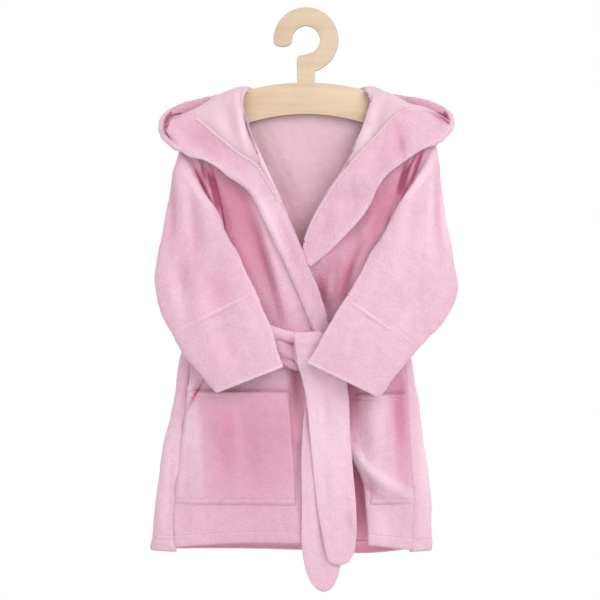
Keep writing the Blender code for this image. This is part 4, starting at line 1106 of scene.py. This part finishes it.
HOOD_LEFT = HOOD_MIDDLE + [HoodRib(*row) for row in (
    (77, -95, 79, -73.7, -241, 84, -76), (71, -118, 82, -74.2, -236, 89, -77),
    (60, -142, 86, -75.5, -230, 94, -77.5), (50, -166, 91, -78, -222, 101, -78.5),
    (68, -183, 99, -81, -211, 111, -80), (92, -175, 110, -86, -196, 123, -82),
    (115, -162, 124, -93.5, -177, 137, -84.5), (136, -149, 140, -97, -157, 151, -88.5),
    (153, -138, 154.5, -103.5, -138, 166, -96), (164, -131, 164.5, -109.5, -127, 173, -103.5),
    (170.5, -124.5, 171, -114, -120.5, 175, -111),
)]
HOOD_FRONT_CREASES = [Crease(*row) for row in (
    (-83, -84, -69, -155, -2, 4, 3, 0.6), (-76, -92, -62, -150, -1, 3, -2.2, 0.6),
    (-95, -90, -78, -150, 0, 7, -1.8), (-112, -100, -92, -136, 0, 8, 1.4),
    (71, -112, 80, -130, 0, 2.6, -2.2), (82, -90, 66, -150, 2, 6, 2),
    (96, -92, 84, -134, 0, 7, -1.6),
)]
HOOD_REAR_CREASES = [Crease(*row) for row in (
    (88, -90, 46, -225, 7, 11, 3.4, 0.4, 0.1), (62, -88, 30, -240, 5, 9, -3),
    (120, -96, 82, -190, 4, 9, -2.6), (36, -92, 14, -262, 3, 10, 2.6),
    (140, -100, 112, -165, 2, 7, 2), (14, -180, 8, -280, 0, 6, -1.8, 0.6),
)]


def hood_ribs(table, side):
    """The hood's control lines: from the neck seam or front rim over the crest, down behind
    the back, round the bottom and up to the rear rim."""
    grid = []
    for rib in table:
        if rib.crest_x < NECK_SEAM_END:
            rib = rib._replace(front_z=TOP_LEVEL - float(neck_drop(rib.front_x)) + NECK_GAP)
        fullness = (HOOD_TIP_FULLNESS - HOOD_FULLNESS) * rib.crest_x / HOOD_TIP_X
        fullness = HOOD_FULLNESS + fullness
        over_arm = ease((rib.crest_x - ARM_PASS_X) / ARM_PASS_WIDTH)
        line = []
        span = rib.crest_z - rib.front_z
        bend = min(CREST_BEND, span * CREST_BEND_SHARE)
        heights = [rib.front_z + (span - bend) * part for part in (0, 0.5, 1)]
        heights += [rib.crest_z - bend * 0.5, rib.crest_z - bend * 0.17]
        for z in heights:
            part = (z - rib.front_z) / span
            x = side * (rib.front_x + (rib.crest_x - rib.front_x) * part)
            roll = math.sqrt(1 - (1 - min(1, (rib.crest_z - z) / CREST_BEND)) ** 2)
            before = (front_y(x, z) - HOOD_LIFT) * roll
            behind = NECK_SEAM_Y + NECK_SEAM_LEAN * part
            line.append((x, float(behind + (before - behind) * over_arm), z))
        x = side * rib.crest_x
        wall = float(back_y(x, rib.crest_z - 2 * CREST_BEND)) + HOOD_WALL_GAP
        crest_share = CREST_BACK_SHARE + (CREST_ARM_SHARE - CREST_BACK_SHARE) * over_arm
        turn_share = 1 + (TURN_ARM_SHARE - 1) * over_arm
        line.append((x, wall * crest_share, rib.crest_z))
        line.append((x, wall * turn_share, rib.crest_z - bend * TURN_DROP))
        middle_x = (rib.crest_x + rib.rim_x) / 2
        near = HOOD_WALL_GAP + HOOD_SLACK
        for part in DOWN_PARTS:
            z = rib.crest_z + (rib.bottom_z - rib.crest_z) * part
            x = side * (rib.crest_x + (middle_x - rib.crest_x) * part)
            line.append((x, float(back_y(x, min(z, WALL_TOP_LEVEL))) + near, z))
        x = side * middle_x
        y = float(back_y(x, min(rib.bottom_z, WALL_TOP_LEVEL))) + near + fullness / 2
        line.append((x, y, rib.bottom_z))
        for part in UP_PARTS:
            z = rib.bottom_z + (rib.rim_z - rib.bottom_z) * part
            x = side * (middle_x + (rib.rim_x - middle_x) * part)
            y = max(back_y(x, min(z, WALL_TOP_LEVEL)), back_y(x, min(z, FAR_WALL_LEVEL)))
            line.append((x, float(y) + near + fullness, z))
        grid.append(line)
    grid = np.array(grid)
    centre = grid[-1].mean(0)
    tip = centre + (grid[-1] - centre) * TIP_PINCH + (side * TIP_LENGTH, 0, 0)
    return np.concatenate([grid, tip[None]])


def refined(control, axis, step):
    """A grid of control points made finer along its rows or its columns."""
    steps = np.linalg.norm(np.diff(control, axis=axis), axis=-1)
    keys = run_of(steps.mean(1 - axis))
    stops = np.linspace(0, keys[-1], int(keys[-1] / step) + 2)
    if axis == 0:
        return smooth(keys, control, stops)
    return np.swapaxes(smooth(keys, np.swapaxes(control, 0, 1), stops), 0, 1)


def closed_tube(name, points, normals, hollow):
    """A tube of terry pressed flat, with both its ends closed."""
    made = cloth_piece(name, points, normals, hollow, True, thickness=0)
    shell = bmesh.new()
    shell.from_mesh(made.data)
    bmesh.ops.holes_fill(shell, edges=[edge for edge in shell.edges if edge.is_boundary])
    bmesh.ops.recalc_face_normals(shell, faces=shell.faces)
    shell.to_mesh(made.data)
    shell.free()
    made.data.shade_smooth()
    return made


# The rolled rim goes on from the facing round the hood's tip and ends under the lapel.
ROLL_RINGS = 120
ROLL_SIDES = 26
ROLL_ENDS = (0.12, 3.02)  # radians of the half turn over which the roll swells and thins
ROLL_FLATNESS = 0.8
ROLL_SEED = 5
RollPoint = namedtuple("RollPoint", "x y z radius")
RIM_RIGHT = [RollPoint(*row) for row in (
    (112, 25, -84.5, 2.4), (130, 25.5, -88.5, 3.6), (145, 24.5, -94, 4.2),
    (160.5, 20, -99.5, 4.4), (169, 12, -107, 4.4), (172.5, 2, -117, 4.4), (171, -8, -128, 4.6),
    (164.5, -15, -138.5, 4.8), (153.5, -20, -147.5, 4.6), (139, -23, -152, 4),
    (122, -24, -154, 2.6),
)]
RIM_LEFT = [RollPoint(*row) for row in (
    (108, 25, -81.5, 2.4), (124, 25.5, -85, 3.4), (143, 25, -88.5, 3.8), (160, 21, -95.5, 4),
    (170, 13, -103.5, 4), (174.5, 3, -113, 4.2), (173, -7, -122, 4.4), (167, -13, -129.5, 4.6),
    (158.5, -17, -137.5, 4.6), (147, -20, -144, 4), (132, -22, -149, 2.4),
)]


def rolled_rim(table, side, seed):
    """The roll as rings of points round its middle line."""
    rows = np.arange(len(table), dtype=float)
    middles = smooth(rows, np.array(table, float), np.linspace(0, rows[-1], ROLL_RINGS))
    core = middles[:, :3] * (side, 1, 1)
    ahead = np.gradient(core, axis=0)
    ahead /= np.linalg.norm(ahead, axis=1, keepdims=True)
    across = np.cross(ahead, (0, 1, 0))
    across /= np.linalg.norm(across, axis=1, keepdims=True)
    out = np.cross(across, ahead)
    turn = np.linspace(0, 2 * np.pi, ROLL_SIDES, endpoint=False)[None, :, None]
    swell = np.sqrt(np.sin(np.linspace(*ROLL_ENDS, ROLL_RINGS)))
    radius = (middles[:, 3] * swell)[:, None, None]
    ring = np.cos(turn) * across[:, None] + np.sin(turn) * ROLL_FLATNESS * out[:, None]
    points = core[:, None] + ring * radius
    wobble = ripple(points[..., 0], points[..., 2], 13, 0.35, seed)
    return points + ring * wobble[..., None]


# Somewhere inside the curve of the roll; the side of the roll that faces it gets painted shade.
ROLL_INSIDE = np.array((148.0, -8.0, -120.0))
HoodHalf = namedtuple("HoodHalf", "name node table rim side seed")
HOOD_HALVES = [
    HoodHalf("hood_half_right", "hood_right", HOOD_RIGHT, RIM_RIGHT, -1, 60),
    HoodHalf("hood_half_left", "hood_left", HOOD_LEFT, RIM_LEFT, 1, 70),
]
for half in HOOD_HALVES:
    points = refined(refined(hood_ribs(half.table, half.side), 1, HOOD_STEP), 0, HOOD_STEP)
    rows, columns = points.shape[:2]
    normals = normals_of(points, 1, False, rows // 3, columns - 12)
    x, y, z = np.moveaxis(points, -1, 0)
    run = lengths(points, 1)
    to_rim = lengths(points, 1, True)
    in_front = ease((-y - 2) / 4)
    far_wall = ease((run / (run + to_rim) - FAR_WALL_SHARE) / FAR_WALL_FADE)
    to_seam = lengths(points, 0)
    heights = -folds(HOOD_FRONT_CREASES, x, z) * in_front
    heights += folds(HOOD_REAR_CREASES, np.abs(x), z) * far_wall * ease(to_rim / 20)
    heights += unevenness(x, z, half.seed) * (0.3 + 0.7 * np.maximum(far_wall, in_front))
    heights += curled_edge(to_seam, 2.0) * 0.7 * far_wall
    heights += -0.5 * bell(to_seam - CENTRE_ROW, 1.6) * far_wall
    points, normals = raised(points, normals, heights, 1, False, rows // 3, columns - 12)
    # Painted highlight on the hood's wrong side in front, down to this level and varying with its
    # creases, painted light and shade from the rear creases, and painted shade in the hood's tip.
    above = ease((z - HOOD_SHADE_Z) / HOOD_SHADE_FADE)
    hollow = -(0.27 + 0.22 * folds(HOOD_FRONT_CREASES, x, z)) * in_front * above
    hollow -= 0.05 * folds(HOOD_REAR_CREASES, np.abs(x), z) * far_wall
    in_tip = in_front * ease((np.abs(x) - TIP_SHADE_X) / TIP_SHADE_FADE)
    hollow += 1.2 * in_tip * ease((z - TIP_SHADE_Z) / TIP_SHADE_FADE)
    hood = cloth_piece(half.name, points, normals, hollow)
    top = nearest(to_seam[:, -1], CENTRE_ROW)
    rise = int(columns * CENTRE_ROW_SHARE)
    seam_stitches = stitch_row(f"{half.name}_seam_stitches", points[top, rise:],
                               normals[top, rise:], thread)
    rim = nearest(to_rim[rows // 3], FACING_WIDTH - 4)
    end = int(rows * RIM_ROW_SHARE)
    rim_stitches = stitch_row(f"{half.name}_rim_stitches", points[4:end, rim],
                              normals[4:end, rim], thread)
    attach(hood, "root")
    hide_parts(half.node)
    first = nearest(to_rim[rows // 3], FACING_WIDTH)
    strip = points[:-3, first:] - normals[:-3, first:] * FACING_LIFT
    strip_normals = -normals_of(strip, 1, False, rows // 3, -6)
    # Painted shade on the facing, deeper away from its rim.
    facing = cloth_piece(half.name.replace("half", "rim_facing"), strip, strip_normals,
                         0.45 * ease(lengths(strip, 1, True) / 12))
    roll = rolled_rim(half.rim, half.side, half.seed + ROLL_SEED)
    middle = roll.mean(1, keepdims=True)
    inwards = ROLL_INSIDE * (half.side, 1, 1) - middle
    inwards /= np.linalg.norm(inwards, axis=-1, keepdims=True)
    facing_in = ((roll - middle) * inwards).sum(-1) / np.linalg.norm(roll - middle, axis=-1)
    # Painted shade on the side of the roll that faces inside its curve, and a slight painted
    # highlight on the rest.
    hollow = 1.05 * ease((facing_in - 0.3) / 0.5) - 0.17
    roll_normals = normals_of(roll, -1, True, 100, ROLL_SIDES // 4)
    roll_piece = closed_tube(f"{half.name}_rolled_rim", roll, roll_normals, hollow)
    pick(facing, roll_piece)
    bpy.ops.object.join()
    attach(facing, "root")
    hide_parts(half.node.replace("hood", "hood_facing"))


# The lapels are one strip of terry on each side, cut with the front edge and the hood's front
# rim and turned back over both. The outer edge is a soft fold that rolls at the hood's tip,
# and the inner edge, inside the hood, is bound by a row of overlock stitches.
LAPEL_LIFT = 2.5
LAPEL_STEP_Z = -215.0
LAPEL_STEP = 30.0
LAPEL_SPARE = 2.2
LAPEL_COLUMNS = 34
LAPEL_PITCH = 2.0
OVERLOCK_STITCH = (2.3, 5.2, 0.8, 1.05)  # pitch, length, thickness and slant
LapelRib = namedtuple("LapelRib", "outer_x outer_z inner_x inner_z")
LAPEL_RIGHT = [LapelRib(*row) for row in (
    (11, -371, 30, -370), (-7, -325, 15, -318), (-26, -282, -6, -272), (-44, -245, -19, -240),
    (-65, -203, -34, -208), (-79, -190, -49, -183), (-92, -182, -59, -168),
    (-105, -171, -76, -157), (-121, -162, -97, -140), (-138, -158, -120, -120),
    (-150, -150, -138, -107.5), (-159.5, -138, -151, -109.5), (-165.5, -127, -161.5, -116),
)]
LAPEL_LEFT = [LapelRib(*row) for row in (
    (5, -289, -6, -283), (30, -268, -3, -262), (58, -239, 7, -234), (74, -218, 22, -208),
    (86, -193, 37, -186), (98, -178, 50, -170), (114, -166, 66, -151), (132, -153, 83, -133),
    (146, -145.5, 96, -118), (157.5, -139.5, 112, -104), (167, -132, 133, -99),
    (172, -122.5, 156, -108),
)]
LAPEL_RIGHT_CREASES = [Crease(*row) for row in (
    (-150, -120, -72, -172, 0, 11, -2.4, 0.4), (-150, -149, -62, -199, 3, 6, 4),
    (-58, -205, -14, -310, 2, 6, 2), (-42, -215, -8, -300, 2, 5, -1.6),
    (-110, -148, -100, -165, 0, 7, 1.2),
)]
LAPEL_LEFT_CREASES = [Crease(*row) for row in (
    (109, -128, 115, -166, 1, 3.5, -3), (124, -118, 122, -156, 0, 9, 2),
    (54, -182, 57, -226, 0, 6, -2), (68, -170, 76, -205, 0, 7, 1.8),
    (88, -140, 84, -176, 0, 6, -1.6), (34, -205, 30, -252, 0, 8, 1.5),
    (82, -205, 40, -258, 2, 6, 1.8),
)]
# Painted shade on the lapels, and painted highlight where below zero.
LAPEL_PAINTED_SHADE = [Crease(*row) for row in (
    (-162, -108, -170, -132, -2, 5, 1), (-166, -130, -156, -143, 0, 4, 0.5, 0.3),
    (-140, -104, -166, -112, 0, 4, 0.6, 0.6), (-148, -122, -78, -165, 0, 12, 0.26, 0.3),
    (-150, -150, -64, -197, 3, 4, -0.35), (-60, -200, -18, -300, 2, 4, -0.25),
    (109, -122, 117, -168, 1, 5, 0.22), (104, -128, 88, -190, 0, 14, 0.12),
    (55, -182, 57, -226, 0, 10, 0.08), (34, -205, 24, -262, 0, 8, 0.16),
    (140, -96, 168, -118, 0, 3, 0.7, 0.7), (118, -99, 140, -100, 0, 3, -0.4),
    (158, -134, 96, -184, 2, 3.5, -0.35), (84, -205, 20, -276, 2, 3.5, -0.2),
    (-42, -215, -2, -315, 2, 5, 0.18), (-60, -178, -22, -262, 0, 13, -0.5),
    (106, -108, 118, -156, 0, 13, 0.14),
)]


def hood_step(x, z):
    """The lapel leaves the front panel and lies on the hood from here up."""
    return (HOOD_LIFT + LAPEL_SPARE) * ease((z - LAPEL_STEP_Z) / LAPEL_STEP)


def right_lapel_lift(x, z):
    return np.maximum(overlap_lift(x, z), hood_step(x, z))


def lapel_grid(table, lift, pitch):
    """A lapel without its folds: rows from the waist up, columns from the outer edge in."""
    rows = np.arange(len(table), dtype=float)
    edges = np.array(table, float)
    outer, inner = np.diff(edges[:, :2], axis=0), np.diff(edges[:, 2:], axis=0)
    steps = np.hypot(*outer.T) + np.hypot(*inner.T)
    keys = run_of(steps / 2)
    stops = np.linspace(0, keys[-1], int(keys[-1] / pitch))
    edges = smooth(rows, edges, np.interp(stops, keys, rows))
    share = np.linspace(0, 1, LAPEL_COLUMNS)
    x = edges[:, :1] + (edges[:, 2:3] - edges[:, :1]) * share
    z = edges[:, 1:2] + (edges[:, 3:] - edges[:, 1:2]) * share
    y = front_y(x, z) - lift(x, z) - LAPEL_LIFT - np.sin(np.pi * share)
    return np.stack([x, y, z], -1)


Lapel = namedtuple("Lapel", "name node table lift creases under seed bound flat area")
LAPELS = [
    Lapel("lapel_band_left", "lapel_left", LAPEL_LEFT, hood_step, LAPEL_LEFT_CREASES,
          left_front_folds, 80, (0.12, 0.87), (0.055, 0.30), 0.0115),
    Lapel("lapel_band_right", "lapel_right", LAPEL_RIGHT, right_lapel_lift, LAPEL_RIGHT_CREASES,
          right_front_folds, 90, (0.52, 0.90), (0.045, 0.40), 0.0110),
]
for lapel in LAPELS:
    points = lapel_grid(lapel.table, lapel.lift, LAPEL_PITCH)
    rows = len(points)
    normals = normals_of(points, -1)
    x, y, z = np.moveaxis(points, -1, 0)
    on_hood = ease((z - LAPEL_STEP_Z + 20) / 30)
    to_outer = lengths(points, 1)
    to_inner = lengths(points, 1, True)
    heights = folds(lapel.creases, x, z) + unevenness(x, z, lapel.seed)
    heights += np.maximum(lapel.under(x, z), 0) * (1 - on_hood)
    heights += curled_edge(to_outer, 4.0) * 0.8 + 3.4 * bell(to_outer - 5, 7)
    heights += curled_edge(to_inner, 2.0) * 0.3
    points, normals = raised(points, normals, heights, -1)
    # Painted shade and highlight from the table, and a painted highlight along the outer edge.
    hollow = folds(LAPEL_PAINTED_SHADE, x, z, 4) - 0.9 * (1 - ease(to_outer / 5))
    band = cloth_piece(lapel.name, points, normals, hollow)
    start, end = (int(rows * share) for share in lapel.bound)
    overlock = stitch_row(f"{lapel.name}_overlock", points[start:end, -2],
                          normals[start:end, -2], overlock_thread, 0.4, *OVERLOCK_STITCH)
    edge_stitches = stitch_row(f"{lapel.name}_edge_stitches", points[3:-6, 5],
                               normals[3:-6, 5], thread)
    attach(band, "root")
    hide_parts(lapel.node)


# The belt is a long flat tube of terry, turned and pressed. It runs round the waist, gathers
# into two stretches where it enters the knot, and its two ends hang from there, one over the
# other, with stitched round tips. Each stretch is its own piece.
BELT_GAP = 1.0
BELT_THICKNESS = 4.0
BELT_LIFT_START = 0.3
BELT_LIFT_SPAN = 0.4
BELT_GATHER_START = 0.45
BELT_GATHER_SPAN = 0.4
BELT_PLEAT = 3.6
BELT_FULLNESS = 1.6
WAIST_RINGS = 300
WAIST_SIDES = 40
WAIST_RUN = 2.2  # millimetres of belt to a degree round the waist
BELT_END_SIDES = 64
BeltTurn = namedtuple("BeltTurn", "angle z width")
BELT_WAIST = [BeltTurn(*row) for row in (
    (17, -382, 20), (28, -368, 26), (50, -348, 36), (90, -336, 42), (140, -331, 44),
    (180, -330, 44), (220, -331, 44), (270, -336, 42), (310, -347, 40), (337, -361, 35),
    (354, -375, 27), (362, -380, 22),
)]
BeltRow = namedtuple("BeltRow", "z left right y")
BELT_FRONT_END = [BeltRow(*row) for row in (
    (-366.5, -14, 17, -37.5), (-372, -14, 21, -39), (-390, -12, 30, -39.3),
    (-405, -10, 40, -39.3), (-418, -6, 46, -38), (-440, -1, 50, -33.5), (-484, 4, 52, -32),
    (-536, 9, 56, -33), (-571, 13, 59, -34), (-612, 20, 59, -34.5), (-626, 23, 57, -35),
    (-634, 25.5, 53.5, -35), (-639.5, 29, 49, -35), (-642, 34, 43, -35),
)]
BELT_REAR_END = [BeltRow(*row) for row in (
    (-412.4, 4, 38, -26.5), (-450, -1, 43, -25.5), (-497, -5, 43, -27.2), (-571, -5, 41, -29.2),
    (-634, -3.5, 41.5, -29.8), (-650, 0, 39.5, -30), (-661, 4.5, 36, -30), (-668.5, 9.5, 32, -30),
    (-673, 15.5, 26.5, -30), (-674.5, 19, 23, -30),
)]
BELT_FRONT_CREASES = [Crease(*row) for row in (
    (2, -372, 6, -470, 0, 6, 1.8, 0.4), (26, -418, 32, -500, 0, 6, -2.8),
    (14, -430, 22, -560, 0, 4, 1.8), (42, -440, 44, -520, 0, 5, 1.2),
    (16, -480, 26, -580, 0, 6, -1.4), (46, -565, 54, -622, 0, 5, -2),
    (36, -560, 42, -625, 0, 6, 1.4), (12, -384, 24, -412, 0, 5, -1.6),
)]
BELT_REAR_CREASES = [Crease(*row) for row in (
    (8, -500, 10, -640, 0, 6, 1.2), (22, -520, 20, -650, 0, 5, -1.2),
    (30, -600, 26, -668, 0, 6, 1),
)]
# Painted shade on the belt's ends, and painted highlight where below zero.
BELT_FRONT_PAINTED_SHADE = [Crease(*row) for row in (
    (10, -380, 38, -640, 0, 32, -0.62, 0.4), (38, -400, 44, -470, 0, 5, 0.2, 0.4),
    (26, -430, 32, -520, 0, 5, 0.16), (22, -500, 34, -600, 0, 5, 0.22),
    (46, -560, 54, -625, 0, 5, 0.16), (20, -378, 34, -398, 0, 8, 0.3),
)]
BELT_REAR_PAINTED_SHADE = [Crease(*row) for row in (
    (8, -430, 20, -670, 0, 30, -0.45, 0.6), (4, -440, 2, -530, 0, 5, 0.3, 0.3),
    (13, -520, 22, -640, 0, 5, 0.3), (4, -520, 10, -610, 0, 10, 0.16),
)]


def flat_ring(count):
    """Section of the flattened tube: how far across and how far out, with full round edges."""
    turn = np.linspace(0, 2 * np.pi, count, endpoint=False)
    return filled(np.cos(turn), 0.45), filled(np.sin(turn), 0.55)


def waist_run():
    """The belt round the waist, as rings of points along it, and the painted shade and highlight
    at each.
    """
    rings, pleat_shade = [], []
    power = 2 / BODY_ROUNDNESS
    across, out = flat_ring(WAIST_SIDES)
    angles = np.linspace(BELT_WAIST[0].angle, BELT_WAIST[-1].angle, WAIST_RINGS)
    for angle in angles:
        z = at(BELT_WAIST, "z", angle)
        half = at(BELT_WAIST, "width", angle) / 2
        s, c = math.sin(math.radians(angle)), math.cos(math.radians(angle))
        level = z + half * across
        left, right = at(BODY, "left", level), at(BODY, "right", level)
        depth = at(BODY, "front" if c > 0 else "back", level)
        off = CLOTH / 2 + BELT_GAP + BELT_THICKNESS / 2 * (1 + out)
        off = off + OVERLAP_LIFT * ease((c - BELT_LIFT_START) / BELT_LIFT_SPAN)
        gathered = ease((c - BELT_GATHER_START) / BELT_GATHER_SPAN)
        pleat = bell(across + 0.5, 0.2) * (out > 0)
        off = off - BELT_PLEAT * gathered * pleat
        # Painted shade in the pleat, and painted highlight on the gathered belt's upper part.
        pleat_shade.append(gathered * (pleat - 0.4 * (out > 0) * ease((across + 0.3) / 0.3)))
        off = off + BELT_FULLNESS * gathered * np.abs(np.sin(across * np.pi)) * (out > 0)
        run = np.full_like(level, angle * WAIST_RUN)
        uneven = ripple(run, level, 24, 0.8, 101) + ripple(run, level, 8, 0.3, 102)
        off = off + uneven * (out > 0)
        x = (left + right) / 2 + ((right - left) / 2 + off) * filled(s, power)
        y = -(depth + off) * filled(c, power)
        rings.append(np.stack([x, y, level], -1))
    return np.array(rings), np.array(pleat_shade)


points, pleat_shade = waist_run()
normals = normals_of(points, 1, True, 150, 10)
belt_waist = closed_tube("belt_round_waist", points, normals, pleat_shade)
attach(belt_waist, "root")
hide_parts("belt_waist")

BeltEnd = namedtuple("BeltEnd", "name node table creases hollows seed flat area")
BELT_ENDS = [
    BeltEnd("belt_end_front", "belt_front_end", BELT_FRONT_END, BELT_FRONT_CREASES,
            BELT_FRONT_PAINTED_SHADE, 110, (0.05, 0.28), 0.0132),
    BeltEnd("belt_end_rear", "belt_rear_end", BELT_REAR_END, BELT_REAR_CREASES,
            BELT_REAR_PAINTED_SHADE, 120, (0.048, 0.27), 0.0122),
]
for end in BELT_ENDS:
    across, out = flat_ring(BELT_END_SIDES)
    drops = np.concatenate([spaced(end.table[0].z, end.table[-1].z + 6, 2.0),
                            np.linspace(end.table[-1].z + 5, end.table[-1].z, 6)])
    rings = []
    for z in drops:
        left, right = at(end.table, "left", z), at(end.table, "right", z)
        middle, half = (left + right) / 2, (right - left) / 2
        thick = BELT_THICKNESS / 2 * min(1, math.sqrt(max(z - end.table[-1].z, 0.2) / 3))
        x = middle + half * across
        y = at(end.table, "y", z) - out * thick
        rings.append(np.stack([x, y, np.full_like(x, z)], -1))
    points = np.array(rings)
    normals = normals_of(points, -1, True, 30, BELT_END_SIDES // 4)
    x, y, z = np.moveaxis(points, -1, 0)
    heights = (folds(end.creases, x, z) + ripple(x, z, 14, 0.3, end.seed)) * (out > 0.2)
    heights += folds(end.creases, x, z) * -0.7 * (out < -0.2)
    heights += ripple(x, z, 6, 0.1, end.seed + 1)
    points[..., 1] -= np.sign(out) * heights
    normals = normals_of(points, -1, True, 30, BELT_END_SIDES // 4)
    # Painted shade and highlight from the table, and a little from the creases.
    hollow = folds(end.hollows, x, z, 4) - 0.06 * folds(end.creases, x, z)
    strip = closed_tube(end.name, points, normals, hollow)
    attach(strip, "root")
    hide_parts(end.node)


# The knot is the same flat tube of terry: one turn of the belt drawn tight round the other, and
# the tuck beside it. Only its own pull holds it.
KNOT_ROUNDNESS = 0.75
KNOT_RINGS = 40
KNOT_SIDES = 56
KnotTurn = namedtuple("KnotTurn", "x y z width depth height tilt pleats")
KNOT = [KnotTurn(*row) for row in (
    (10, -28.8, -389, 46, 15, 46, 0, 3), (-24, -25.5, -389, 48, 8, 21, -0.42, 2),
    (-17, -27, -405, 27, 8, 11, -0.4, 2),
)]

knot_parts = []
for number, turn in enumerate(KNOT):
    lift = np.linspace(-np.pi / 2, np.pi / 2, KNOT_RINGS)[:, None]
    spin = np.linspace(0, 2 * np.pi, KNOT_SIDES, endpoint=False)[None, :]
    wave = 1 + 0.10 * np.cos(turn.pleats * 2 * spin + 3 * lift)
    cap = np.cos(lift) ** KNOT_ROUNDNESS * wave
    x = filled(np.cos(spin), KNOT_ROUNDNESS) * cap * turn.width / 2
    y = filled(np.sin(spin), KNOT_ROUNDNESS) * cap * turn.depth / 2
    z = filled(np.sin(lift), KNOT_ROUNDNESS) * np.ones_like(spin) * turn.height / 2
    tilt = turn.tilt
    points = np.stack([turn.x + x * math.cos(tilt) - z * math.sin(tilt), turn.y + y,
                       turn.z + x * math.sin(tilt) + z * math.cos(tilt)], -1)
    points[..., 1] += ripple(points[..., 0], points[..., 2], 10, 0.5, 130)
    normals = normals_of(points, -1, True, 20, 42)
    # Painted shade along the top edge of the two lower turns, a little more on the tuck, and
    # painted highlight on the main turn.
    under = 0.8 * ease((np.sin(lift) - 0.5) / 0.4) * np.ones_like(spin) * (number > 0)
    hollow = under + 0.2 * (number > 1) - 0.3 * (number < 1)
    knot_parts.append(closed_tube(f"belt_knot_turn_{number}", points, normals, hollow))
pick(*knot_parts)
bpy.ops.object.join()
knot = knot_parts[0]
knot.name = "belt_knot_turns"
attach(knot, "root")
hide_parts("belt_knot")


# The studio: a pale floor far below, an even white room, and a large soft key lamp high on the
# right of the camera, whose light falls off to the robe's left, with a weak fill and a lamp
# behind. The deep pink in the folds is painted shade in the cloth's colour.
CAMERA_AWAY = 2.4
FRAME_WIDTH = 0.720
FRAME_MIDDLE = (-0.0072, -0.3288)
SENSOR = 36.0
ROOM_LIGHT = 0.80
FLOOR_LEVEL = -1.25
FLOOR_SIZE = 3.0
FLOOR_GREY = (0.86, 0.86, 0.86, 1.0)
ROOM_WHITE = (1.0, 0.985, 0.98, 1.0)
BACKDROP_WHITE = (1.0, 1.0, 1.0, 1.0)

bpy.ops.object.select_all(action="DESELECT")
bpy.ops.mesh.primitive_plane_add(size=FLOOR_SIZE, location=(0, 0, FLOOR_LEVEL))
floor = bpy.context.active_object
floor.name = "studio_floor"
floor_paint, _, floor_shader = new_material("pale_floor", 0.9)
put_values(floor_shader, {"Base Color": FLOOR_GREY})
floor.data.materials.append(floor_paint)

world = bpy.data.worlds.new("studio")
world.use_nodes = True
bpy.context.scene.world = world
sky = world.node_tree
room = sky.nodes["Background"]
put_values(room, {"Color": ROOM_WHITE, "Strength": ROOM_LIGHT})
backdrop = add_node(sky, "ShaderNodeBackground", {"Color": BACKDROP_WHITE, "Strength": 1.0})
seen = add_node(sky, "ShaderNodeLightPath").outputs["Is Camera Ray"]
either = add_node(sky, "ShaderNodeMixShader", {0: seen, 1: room.outputs["Background"],
                                               2: backdrop.outputs["Background"]})
put_values(sky.nodes["World Output"], {"Surface": either.outputs["Shader"]})

Lamp = namedtuple("Lamp", "name x y z size energy")
LAMPS = [
    Lamp("key", 1.3, -1.8, 1.0, 1.5, 26.0),
    Lamp("fill", -1.5, -2.0, 0.5, 1.4, 4.5),
    Lamp("rear", 1.4, 1.9, 0.3, 1.6, 9.0),
]
for lamp in LAMPS:
    light = bpy.data.lights.new(lamp.name, "AREA")
    light.size = lamp.size
    light.energy = lamp.energy
    stand = add_object(lamp.name, light)
    stand.location = (lamp.x, lamp.y, lamp.z)
    aim = np.array([0.0, 0.0, FRAME_MIDDLE[1]]) - np.array(stand.location)
    flat_reach = math.hypot(aim[0], aim[1])
    stand.rotation_euler = (math.atan2(flat_reach, -aim[2]), 0, math.atan2(-aim[0], aim[1]))

camera = bpy.data.cameras.new("camera")
camera.sensor_width = SENSOR
camera.lens = SENSOR * CAMERA_AWAY / FRAME_WIDTH
tripod = add_object("camera", camera)
tripod.location = (FRAME_MIDDLE[0], -CAMERA_AWAY, FRAME_MIDDLE[1])
tripod.rotation_euler = (math.pi / 2, 0, 0)
bpy.context.scene.camera = tripod
bpy.context.scene.view_settings.view_transform = "Standard"
